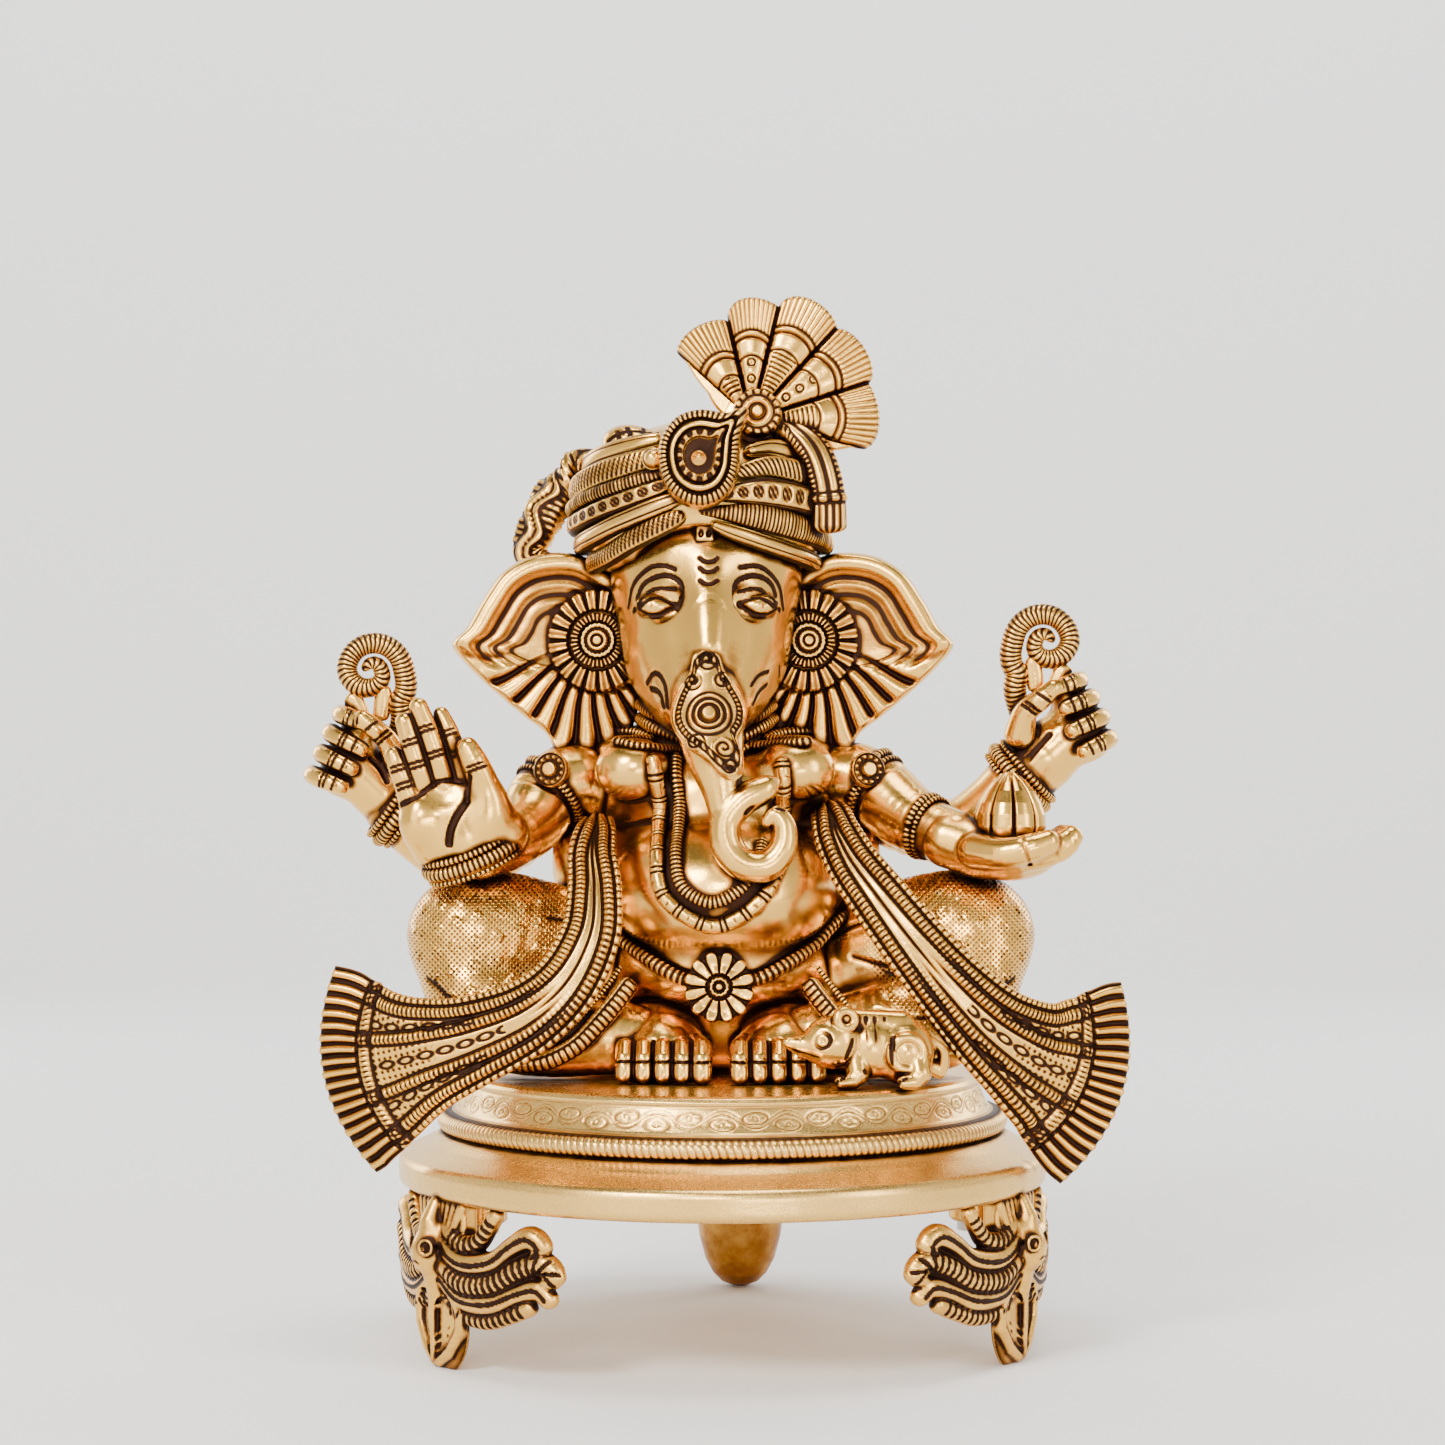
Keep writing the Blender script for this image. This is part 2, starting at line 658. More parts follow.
def build_piece(name, shell, nodes):
    mesh = bpy.data.meshes.new(name)
    verts = (shell.verts + [0, 0, SEAT]) * MM
    nq, nt = len(shell.quads), len(shell.tris)
    mesh.vertices.add(len(verts))
    mesh.vertices.foreach_set("co", verts.astype(np.float32).ravel())
    mesh.loops.add(nq * 4 + nt * 3)
    corners = np.concatenate([shell.quads.ravel(), shell.tris.ravel()])
    mesh.loops.foreach_set("vertex_index", corners.astype(np.int32))
    mesh.polygons.add(nq + nt)
    starts = np.concatenate([np.arange(nq) * 4, nq * 4 + np.arange(nt) * 3])
    mesh.polygons.foreach_set("loop_start", starts.astype(np.int32))
    mesh.polygons.foreach_set("use_smooth", np.ones(nq + nt, dtype=bool))
    for label, values in (("cavity", shell.cavity), ("weave", shell.weave)):
        mesh.attributes.new(label, "FLOAT", "POINT").data.foreach_set("value", values.astype(np.float32))
    mesh.update(calc_edges=True)
    mesh.validate()
    slot = SLOT_OF[nodes[0]]
    mesh.materials.append(BRASS[slot])
    piece = bpy.data.objects.new(name + "_look", mesh)
    bpy.context.scene.collection.objects.link(piece)
    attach(piece, "root")
    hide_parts(*nodes)
    return piece


def outward(shell):
    """Unit normals at the points."""
    v, n = shell.verts, np.zeros((len(shell.verts), 3))
    for faces in (shell.quads, shell.tris):
        if len(faces):
            cross = np.cross(v[faces[:, 2]] - v[faces[:, 0]], v[faces[:, -1]] - v[faces[:, 1]])
            for column in faces.T:
                for axis in range(3):
                    n[:, axis] += np.bincount(column, cross[:, axis], len(v))
    return unit(n)


def shade_contacts():
    """Darkens each piece where another piece stands close in front of it, as patina gathers there."""
    cell = 1.4
    low = np.min([s.verts.min(0) for _, s, _ in PIECES], axis=0) - 5 * cell
    high = np.max([s.verts.max(0) for _, s, _ in PIECES], axis=0) + 5 * cell
    size = np.ceil((high - low) / cell).astype(int)
    index = lambda v: np.ravel_multi_index(tuple(((v - low) / cell).astype(int).T), size)
    every = np.zeros(size.prod(), dtype=np.float32)
    for _, s, _ in PIECES:
        every[np.unique(index(s.verts))] += 1
    for _, s, _ in PIECES:
        own = np.unique(index(s.verts))
        others = every.copy()
        others[own] -= 1
        others = np.minimum(others.reshape(size), 1)
        a = np.maximum(((s.verts.min(0) - low) / cell).astype(int) - 4, 0)
        b = ((s.verts.max(0) - low) / cell).astype(int) + 5
        part = others[a[0]:b[0], a[1]:b[1], a[2]:b[2]]
        for axis in range(3):
            part = (np.roll(part, 1, axis) + 2 * part + np.roll(part, -1, axis)) / 4
        normal = outward(s)
        shade = np.zeros(len(s.verts))
        for reach, share in ((1.2, 1.4), (3.0, 0.7)):
            q = np.clip((s.verts + normal * reach - low) / cell - a - 0.5, 0, arr(part.shape) - 1.001)
            i = q.astype(int)
            f = q - i
            near = np.zeros(len(q))
            for corner in np.ndindex(2, 2, 2):
                w = np.prod(np.where(corner, f, 1 - f), axis=1)
                near += w * part[tuple((i + corner).T)]
            shade = np.maximum(shade, share * np.clip(near - 0.08, 0, 1))
        s.cavity = np.clip(s.cavity + shade, 0, 1)


# ---- Torso ----

BELT = [(-33, 44), (-28, 39.5), (-20, 34.5), (-11.5, 30.3), (-1, 28.5), (9, 30), (18, 34), (27, 39.5),
        (34, 46)]


def torso():
    s = Sculpt()
    s.add(egg((0, 13, 20), (60, 36, 27)))
    s.add(egg((0, 14, 52), (47, 30, 46)), 14)
    s.add(egg((0, -9, 54.6), (35.2, 35.6, 25.4)), 6)
    for side in (-1, 1):
        s.add(egg((-2 + side * 38, 13, 64), (13, 15, 22)), 6)
    s.add(egg((0, -4, 32), (33, 33, 15)), 5)
    s.add(egg((-1, 3, 82), (35, 27, 20)), 7)
    s.add(egg((-26.5, -16, 92), (12, 10.5, 9.6)), 5)
    s.add(egg((22, -16, 92), (12, 10.5, 9.6)), 5)
    s.add(rod([(-30, 9, 92, 13), (-5, 8, 96, 15), (26, 9, 92, 13)]), 6)
    s.add(rod([(-4, 6, 94, 17), (-5, 3, 112, 19)]), 5)
    s.floor()
    for side in (-1, 1):
        mid = -2.5 + side * 25.5
        crease = s.front([(mid - side * 9, 85), (mid - side * 3, 82.6), (mid + side * 4, 83),
                          (mid + side * 9.5, 86)], 0.1)
        s.groove(crease[:, :3], 0.75, 0.8)
        under = s.front([(mid - side * 8, 77), (mid, 75.4), (mid + side * 8, 75), (mid + side * 13, 77)], 0.1)
        s.groove(under[:, :3], 0.55, 0.8)
    roll = s.front([(-31, 44), (-22, 37.5), (-11, 32), (0, 30.8), (11, 32.2), (22, 37), (31, 44)], 0.2)
    s.groove(roll[:, :3], 0.9, 1.0)
    for fold in range(9):
        x = -48 + 12 * fold
        line = drawn([(x * 0.62, 43 - abs(x) * 0.1), (x * 0.86, 26), (x + 3, 5)], 2)
        s.groove(s.front(line, 0.1, 90), 0.75, 1.2)
    for drop in (0, 3.4, 9, 12.4):
        line = drawn([(x, z - drop) for x, z in ((-34, 84), (-20, 75.6), (-2, 72), (16, 75.6), (30, 84))], 2)
        s.groove(s.front(line, 0.1, 90), 0.6, 0.8)
    return s


TORSO = torso()


def on_torso(route, lift):
    return TORSO.front(route, lift)[:, :3]


def make_body():
    make("body", [mesh_field(TORSO)])
    belt = on_torso(BELT, 1.2)
    t = np.radians(np.linspace(-14, 194, 60))
    back = np.stack([90 * np.cos(t), 10 + 90 * np.sin(t), 49.5 + 3 * np.clip(np.sin(t) + 0.2, 0, 1)], 1)
    for _ in range(60):
        back -= (np.stack([np.cos(t), np.sin(t), 0 * t], 1) * np.clip(TORSO.at(back) - 1.2, -3, 3)[:, None]
                 * 0.8)
    round_belt = np.vstack([belt, back, belt[:1]])
    make("belt", [cord(round_belt, 2.1, 2.0, 0.5)])
    strand = [(-20.8, 97), (-20, 90.7), (-18.6, 81.4), (-18.9, 74.8), (-19.2, 66.1), (-18.9, 60.1),
              (-17, 54.7), (-13.1, 50.9), (-7.7, 47.6), (-2.8, 46.2), (2.1, 47.2), (8.7, 51.5), (13.5, 57),
              (16.8, 66), (18, 78), (18, 88), (17.5, 96)]

    def beads(s, a, b, length):
        d = nearest(s, 7.2)
        g = np.maximum(bump(d - 0.75, 0.28), bump(d + 0.75, 0.28))
        g = np.maximum(g, 0.5 * bump(np.abs(np.abs(d - 3.6)), 0.35) * (np.abs(a) < 0.35))
        return -0.5 * g + 0.15 * bump(d, 0.5), g
    path = on_torso(strand, 1.4)
    rows = np.column_stack([path, np.full(len(path), 2.35), np.full(len(path), 2.35)])
    make("garland", [loft(rows, (0, 0, 1), beads, 18, step=0.3)])
    inner = [(-14, 97), (-14, 89.6), (-12.9, 82), (-13.1, 74.3), (-13.7, 66.7), (-12.9, 60.1), (-10.4, 56.3),
             (-6, 53.8), (-2.3, 53.3), (2.1, 55), (6.5, 58.5), (10, 64), (12, 72)]
    make("sacred_cord", [cord(on_torso(inner, 1.2), 1.85, 1.35, 0.42)])

    petals = 12

    def belt_flower(rho, t, x, z):
        r = rho * 10.6
        lobe = wheel(t, petals)
        leaf = smoothstep(3.6, 4.4, r) * (1 - smoothstep(0.62, 0.95, lobe + 0.25 * bump(r - 10.5, 1.2)))
        h = (1.2 + 1.9 * leaf * (1 - 0.35 * bump(r - 7, 1.8)) + 3.6 * (1 - smoothstep(2.6, 3.4, r))
             - 1.2 * bump(r - 1.5, 0.45))
        cav = np.where(r > 3.4, 1 - leaf, bump(r - 1.5, 0.5))
        return h, np.clip(cav, 0, 1)
    centre = TORSO.front([(-1, 28)], 1.0)[0]
    make("belt_rosette", [medal(centre + [0, -0.5, 0], (0, -1, 0.1), (0, 0, 1), belt_flower,
                                lambda t: 10.6 - 0.9 * np.abs(np.cos(t * petals / 2)) ** 3, 4)])


def make_necklace():
    neck = Sculpt()
    neck.steps = list(TORSO.steps)
    cords = []
    for z, thick in ((108.0, 2.15), (103.4, 2.15), (99.5, 1.5)):
        t = np.radians(np.linspace(0, 360, 60, endpoint=False))
        x, y = -4 + 60 * np.cos(t), 6 + 60 * np.sin(t)
        dip = 2.5 - 6.0 * np.clip(-np.sin(t), 0, 1) ** 2 + 2.0 * np.abs(np.cos(t))
        p = np.stack([x, y, z + dip], 1)
        goal = arr([-4, 6, 0])
        for _ in range(50):
            way = unit((goal - p) * [1, 1, 0])
            p += way * (np.clip(neck.at(p), -3, 3)[:, None] * 0.8)
        out = unit((p - goal) * [1, 1, 0])
        p = p + out * 1.0
        cords.append(cord(np.vstack([p, p[:1]]), thick, 1.5, 0.45))
    make("necklace", cords)


# ---- Stool ----

LEG_CIRCLE = 83.5


def to_table(shell):
    return shell.moved(lambda v: v - [0, 0, SEAT])


def both(points, side):
    return [[side * p[0], *p[1:]] for p in points]


def foot_of(angle):
    """Where a leg stands on its circle, by the angle round the stool in degrees."""
    return LEG_CIRCLE * math.cos(math.radians(angle)), LEG_CIRCLE * math.sin(math.radians(angle))


def make_stool_legs():
    """Front leg in a flat frame (x along the rim, -y outward, z up from the table), bent round the rim."""
    leg = Sculpt()
    leg.add(slab((0, 1, 42.4), (13, 2.6, 5.2), 1))
    for k in range(9):
        a = -11.2 + 2.8 * k
        leg.add(rod([(a * 1.04, -0.9, 46.9, 1.75), (a * 0.62, -2.2, 37, 1.35)]), 0.25)
    leg.add(rod([(0, -2.6, 47, 2.2), (0, -4.8, 42, 2.8), (0, -5.6, 38, 2.4)]), 1)
    leg.add(rod([(0, -2, 38, 5.5), (0, -1.6, 28, 5), (0, -0.6, 20, 4)]), 1.5)
    leg.add(egg((0, -4.6, 33.5), (5.4, 5.6, 6.8)), 1)
    feathers = [
        ([(4, -1.2, 40, 2.8), (12, -0.8, 36.6, 3.0), (18, 0, 37.6, 2.8), (22, 0, 41.6, 2.6),
          (25.4, 0, 46, 2.4)], 1),
        ([(4, -2.2, 35.6, 3.0), (14, -1.4, 31.6, 3.3), (25, -0.4, 33, 3.3), (32, 0, 38, 3.1),
          (38, 0, 41, 3.5), (41.6, 0, 38.6, 3.0), (40, -0.4, 36, 2.0)], 0),
        ([(4, -2.2, 30.6, 3.0), (14, -1.6, 26.2, 3.4), (26, -0.8, 27.2, 3.4), (35, -0.4, 32, 3.2),
          (42, 0, 34, 3.6), (45.4, 0, 31, 3.0), (43, -0.6, 28.6, 2.0)], 1),
        ([(4, -1.4, 25.8, 2.8), (13, -1.0, 21.2, 3.2), (25, -0.6, 21.4, 3.3), (34, 0, 25, 3.1),
          (40.6, 0, 27, 3.3), (43.6, 0, 24.6, 2.8)], 0),
        ([(4, -0.4, 21, 2.4), (12, -0.4, 17.0, 2.6), (22, 0, 16.2, 2.7), (31, 0, 18.8, 2.6),
          (37.4, 0, 21.6, 2.6)], 1)]
    leg.add(egg((0, 0.2, 12.4), (13, 2.8, 14.6)), 1)
    leg.add(rod([(0, -0.2, 8, 3.4), (0, -0.2, 3.0, 2.9)]), 2)
    for side in (-1, 1):
        leg.add(egg((side * 20, 1.0, 26), (21, 2.0, 9.5), (0, side * -5, 0)), 1)
        leg.add(egg((side * 33, 0.9, 33), (11, 1.9, 6.5), (0, side * -18, 0)), 1)
        for line, ribbed in feathers:
            leg.add(rod(spline(both(line, side), 1.2)), 0.25)
        leg.add(rod(both([(1, -1.8, 26.4, 1.7), (8.4, -2.0, 22.6, 1.9), (12.6, -1.7, 17, 1.9),
                          (11.8, -1.7, 11.5, 1.8), (6.8, -1.7, 5.2, 1.8), (1.4, -1.7, 2.2, 1.9)], side)), 0.5)
        leg.cut(egg((side * 4.6, -9.4, 35.4), (1.2, 3.4, 1.2)), 0.3)
        leg.add(hoop((side * 4.2, -8.6, 35.4), (side * 0.6, -1, 0), 2.0, 0.5), 0.4)
        leg.groove(both([(0.6, -10.4, 31), (3.4, -9.2, 29.6), (5.6, -6.6, 31)], side), 0.55)
        for k in range(7):
            z = 20.5 - 2.5 * k
            leg.groove(both([(0.9, -3.0, z - 2.2), (4, -3.3, z - 0.1), (9.8 - 0.75 * k, -2.8, z + 1.9)],
                            side), 0.5, 0.4)
        for line, ribbed in feathers:
            if not ribbed:
                leg.groove([[p[0], p[1] - p[3] - 0.1, p[2]] for p in both(line, side)], 0.5, 0.4)
                continue
            path = spline(both(line, side), 2.3)
            for p, q in zip(path[2:-1], path[3:]):
                cross = np.cross(unit((q - p)[:3]), [0, 1, 0])
                sink, aside = p[:3] - [0, p[3] * 0.55, 0], cross * p[3] * 0.9
                leg.cut(rod([[*(sink - aside), 0.4], [*(p[:3] - [0, p[3] + 0.15, 0]), 0.42],
                             [*(sink + aside), 0.4]]), 0.3)
    leg.add(slab((0, 7.5, 44), (5.6, 8, 3.4), 1), 1)
    leg.ridge([(0, -3.8, 24), (0, -3.6, 12), (0, -3.3, 3)], 1.0)
    leg.floor()
    flat = mesh_field(leg)
    flat.cavity = np.clip(flat.cavity + 0.12, 0, 1)

    def bent(angle):
        def fn(v):
            turn = np.arcsin(np.clip(v[:, 0] / 97, -0.9, 0.9)) + math.radians(angle)
            r = 95.6 - v[:, 1]
            return np.stack([r * np.cos(turn), r * np.sin(turn), v[:, 2]], 1)
        return fn
    for name, angle in (("leg_front_right", 213), ("leg_front_left", 332)):
        boss = lathe([(0, 40.4), (6.6, 40.4), (7.5, 41.3), (7.5, 47.4), (0, 47.4)], 90, None, 0.8,
                     foot_of(angle))
        make(name, [to_table(flat.moved(bent(angle))), to_table(boss)])
    stub = [(0, 0.2), (3.2, 0.5), (6.2, 1.8), (9.0, 4.6), (11.6, 9.5), (13.6, 17), (15.0, 28), (15.8, 39),
            (16, 44.4), (16.5, 45), (17, 46.6), (16.6, 47.4), (0, 47.4)]
    rear = to_table(lathe(stub, 120, None, 0.6, foot_of(86)))
    rear.cavity = rear.cavity + 0.3
    make("leg_rear", [rear])


def make_stool():
    rim = [(96.3 + 2.2 * math.cos(a), 49.8 + 2.2 * math.sin(a)) for a in np.linspace(-1.5, 0, 7)]
    top = [(95.4 + 3.1 * math.cos(a), 54.1 + 3.1 * math.sin(a)) for a in np.linspace(0, 1.2, 8)]
    slab_line = [(0, 51), (73.5, 51), (73.5, 47.6)] + rim + top + [(90, 60), (86, 62.6), (84, 63), (0, 63)]
    make("chowki_slab", [to_table(lathe(slab_line, 300, None, 1.0))])
    rope = [(84 + 2.9 * math.cos(a), 66 + 2.9 * math.sin(a)) for a in np.linspace(-1.45, 1.5, 16)]
    line = [(0, 63.2), (84, 63.2)] + rope + [(82.6, 69.2), (81.2, 70.4), (80, 72.4), (79, 75), (78, 77.4),
                                             (78.2, 78.4),
                                              (77.4, 79.5), (76, 80), (0, 80)]
    waves = 27

    def carving(theta, s, r, z):
        on_rope = (np.abs(z - 66) < 2.9) & (r > 82.5)
        twist = bump(nearest(theta * 250 / TURN + (z - 66) * 0.12, 1), 0.17) * on_rope
        band = smoothstep(69.9, 70.4, z) * (1 - smoothstep(76.6, 77.0, z)) * (r > 74)
        u = theta * waves / TURN
        middle = 73.5 + 1.9 * np.sin(TURN * u)
        line = bump(z - middle, 0.24) + 0.8 * bump(z - middle - 1.0, 0.2)
        for offset, height, tilt in ((0.75, 74.3, 1.3), (0.25, 72.6, -1.3)):
            w = ((u - offset + 0.5) % 1 - 0.5) * 18.4
            a, b = w + (z - height) * tilt * 0.6, (z - height) - w * 0.16 * tilt
            shape = np.sqrt((a / 3.9) ** 2 + (b / 1.7) ** 2)
            line = np.maximum(line, bump((shape - 1) * 2.0, 0.26))
            line = np.maximum(line, bump(np.hypot(a, b) - 0.75, 0.2))
            line = np.maximum(line, 0.7 * bump(b, 0.16) * (np.abs(a) > 1.3) * (shape < 0.85))
        line = np.clip(line, 0, 1) * band
        borders = (bump(z - 77.2, 0.22) + bump(z - 69.8, 0.22)) * (r > 74)
        push = -0.28 * twist - 0.26 * line - 0.2 * borders
        cav = 0.55 * twist + 0.62 * line + 0.5 * borders
        cav = np.maximum(cav, bump(z - 63.2, 0.5) * (r > 80))
        cav = np.maximum(cav, 0.9 * bump(z - 69.0, 0.4) * (r > 80))
        return push, np.clip(cav, 0, 1)
    make("chowki_plinth", [to_table(lathe(line, 1400, carving, 0.42))])
    make_stool_legs()


# ---- Crossed legs ----

THIGH = [(-24, 8, 26, 18), (-40, 4, 30, 21), (-56, -3, 36, 22), (-70, -8, 41, 20.5), (-77, -11, 42, 18.5)]
SHIN = [(-78, -14, 36, 13), (-75, -18, 27, 15), (-66, -21, 18, 15.5), (-52, -24, 15, 14.6),
        (-38, -25, 13, 12), (-26, -25, 12, 10)]


def make_legs():
    leg = Sculpt()
    leg.add(rod(spline(THIGH, 4)))
    leg.add(rod(spline(SHIN, 4)), 5)
    leg.add(egg((-73, -12, 40), (18.5, 17, 19.5)), 4)
    leg.floor()
    folds = [[(-88, -22, 30), (-76, -32, 22), (-60, -38, 19), (-46, -38, 21)],
             [(-90, -18, 24), (-78, -30, 13), (-64, -36, 8)],
             [(-40, -20, 36), (-52, -26, 32), (-64, -30, 27), (-74, -32, 24)],
             [(-34, -16, 42), (-42, -18, 46), (-52, -22, 48)]]
    for route in folds:
        drop = [(p[0], p[2]) for p in route]
        leg.groove(leg.front(drawn(drop, 3), 0.15), 0.65, 1.2)
    for k in range(3):
        leg.groove([(-86 + 7 * k, 4 + 3 * k, 53 - 3 * k), (-80 + 6 * k, 8 + 2 * k, 40),
                    (-74 + 5 * k, 10 + 2 * k, 22)], 0.7, 1.4)

    def flowers(p):
        u, w = (p[:, 0] + 73 + 0.4 * (p[:, 2] - 41)) / 7.0, (p[:, 2] - 41 - 0.25 * (p[:, 0] + 73)) / 7.0
        row = np.round(w)
        du = (u + 0.5 * (row % 2)) - np.round(u + 0.5 * (row % 2))
        dw = w - row
        r, t = np.hypot(du, dw) * 7.0, np.arctan2(dw, du)
        petal = smoothstep(2.3, 1.5, r / (0.62 + 0.38 * np.abs(np.cos(2 * t))))
        mask = smoothstep(24, 19, np.hypot(p[:, 0] + 73, p[:, 2] - 42)) * (p[:, 1] < 8)
        return 0.38 * petal * mask * (1 - 0.8 * smoothstep(0.8, 0.5, r))
    leg.push(flowers, (-100, -40, 18), (-48, 10, 66))
    right = mesh_field(leg)
    v = right.verts
    right.weave = smoothstep(30, 22, np.hypot(v[:, 0] + 72, v[:, 2] - 42)) * smoothstep(6, 0, v[:, 1])
    make("right_leg", [right])
    make("left_leg", [right.mirrored(-0.5)])

    foot = Sculpt()
    foot.add(rod([(-18, -8, 11, 11), (-18, -18, 12, 12.5), (-18, -26, 9.5, 11)]))
    foot.add(egg((-17.6, -29, 7), (14.2, 11, 10)), 4)
    for k in range(5):
        x, r = -28.8 + 5.7 * k, (2.7, 2.75, 2.8, 2.8, 3.0)[k]
        y = -36.6 - 0.8 * k
        foot.add(rod([(-17.6 + (x + 17.6) * 0.85, y + 6, 11.4, r), (x, y, 10.4, r), (x, y - 3.2, 7.4, r),
                      (x, y - 4.2, 4.6, r), (x, y - 4.4, 2.8, r)]), 0.2)
        foot.groove([(x - r, y - 3.4, 6.4), (x, y - 6.7, 6.8), (x + r, y - 3.4, 6.4)], 0.34, 0.2)
        if k < 4:
            foot.groove([(x + 2.85, y - 0.5, 12), (x + 2.85, y - 4.4, 8), (x + 2.85, y - 6.2, 4),
                         (x + 2.85, y - 6.2, 0)], 0.6, 0.2)
    foot.groove([(-30, -28, 13), (-24, -33, 12.6), (-16, -34.5, 12.6), (-8, -32, 13)], 0.5, 0.8)
    foot.floor()
    shell = mesh_field(foot)
    make("right_foot", [shell])
    make("left_foot", [shell.mirrored(-0.5)])

    rings = []
    for scale, thick, y, z in ((13.6, 1.75, -16.6, 13.4), (13.0, 1.45, -20.6, 12.2)):
        path = ring_path((-18, y, z), (0, -1, 0.42), scale, 60)
        path[:, 2] = np.maximum(path[:, 2], 1.7)
        rings.append(cord(path, thick, 1.5, 0.4))
    make("anklets", rings + [r.mirrored(-0.5) for r in rings])
    hem = [(-62, -38, 5.5), (-52, -40.5, 6.5), (-43, -40, 11), (-36.5, -37.5, 17.5), (-31, -35.5, 24),
           (-26.5, -34, 30)]
    path = spline(hem, 1.0)

    def hem_relief(s, a, b, length):
        g = bump(nearest(s, 1.9), 0.3) * (np.abs(a) < 0.82)
        rims = bump(np.abs(a) - 0.86, 0.1)
        return (-0.5 * g - 0.35 * bump(np.abs(a) - 0.74, 0.08) + 0.1 * rims,
                np.maximum(g, bump(np.abs(a) - 0.74, 0.08)))
    rows = np.column_stack([path, np.full(len(path), 3.1), np.full(len(path), 1.9)])
    first = loft(rows, (0.6, 0.35, -0.7), hem_relief, 26, step=0.35)
    second = cord(path + [-3.4, -0.4, 4.0], 0.9, 1.2, 0.25)
    make("dhoti_hems", [first, second, first.mirrored(-1), second.mirrored(-1)])


# ---- Arms ----

ARM_PATHS = {
    "right_front_arm": [(-34, 7, 84, 9), (-45, 5, 89, 11.6), (-54, 2, 84, 11.4), (-59, -5, 76, 10.6),
                        (-65, -15, 71, 9.4), (-73, -22, 68, 9)],
    "left_front_arm": [(27, 7, 84, 9), (38, 5, 89, 11.6), (47, 2, 86, 11.4), (55, -5, 79, 10.6),
                       (63, -13, 74, 9), (70, -18, 72, 8)],
    "right_rear_arm": [(-36, 12, 82, 9), (-51, 17, 84, 11), (-66, 15, 71, 10.5), (-80, 10, 65, 10),
                       (-91, 5, 71, 9.4), (-101, 1, 80, 9)],
    "left_rear_arm": [(29, 12, 82, 9), (43, 17, 84, 11), (58, 15, 76, 10.5), (72, 10, 73, 10),
                      (83, 5, 80, 10), (93, 1, 91, 10)]}


def make_arms():
    for name, rows in ARM_PATHS.items():
        arm = Sculpt().add(rod(spline(rows, 3)))
        p = spline(rows, 1)
        for share in (0.42, 0.47):
            k = int(len(p) * share)
            arm.cut(hoop(p[k, :3], p[k + 1, :3] - p[k - 1, :3], p[k, 3] + 0.5, 0.75), 1.0)
        make(name, [mesh_field(arm)])
    discs = []
    for x, lean in ((-52, -0.35), (44, 0.35)):
        def disc(rho, t, px, pz):
            r = rho * 5.6
            dots = bump(1.3 * wheel(t, 12), 0.7) * bump(r - 3.9, 0.6)
            h = 1.0 + 0.8 * dots + 1.6 * (1 - smoothstep(1.8, 2.6, r)) + 0.5 * smoothstep(4.7, 5.0, r)
            return (h, np.clip(bump(r - 2.8, 0.4) + bump(r - 4.8, 0.25)
                               + 0.6 * bump(r - 3.9, 0.7) * (1 - dots), 0, 1))
        discs.append(medal((x, -9.4, 92), (lean, -1, 0.15), (0, 0, 1), disc, lambda t: 5.6 + 0 * t, 2.5, 40,
                           90))
    for name, rows in ARM_PATHS.items():
        if "front" in name:
            p = spline(rows, 1)
            for k, thick in ((20, 1.5), (23, 1.0)):
                way = p[k + 1, :3] - p[k - 1, :3]
                discs.append(cord(ring_path(p[k, :3], way, p[k, 3] + 0.1, 50), thick, 1.5, 0.4))
    make("armlets", discs)
    rings = []
    for centre, axis, r, depth in (((-75, -24, 66.4), (-0.36, -0.22, 0.93), 13.8, 0.72),
                                   ((61.4, -12, 75), (1, -0.8, -0.35), 9.0, 1),
                                   ((-99.6, 1.2, 79.2), (-0.82, -0.15, 0.57), 10.4, 1),
                                   ((91.4, 1.2, 89.6), (0.75, -0.15, 0.66), 11.4, 1)):
        for shift, thick in ((0, 2.2), (3.3, 1.1), (-3.0, 0.9)) if r > 10 else ((0, 1.5), (2.4, 0.9)):
            path = ring_path(arr(centre) + shift * unit(axis), axis, r + (2.2 - thick) * 0.2, 60)
            path[:, 1] = centre[1] + (path[:, 1] - centre[1]) * depth
            rings.append(cord(path, thick, 1.5, 0.45))
    make("bracelets", rings)


# ---- Head, trunk and ears ----

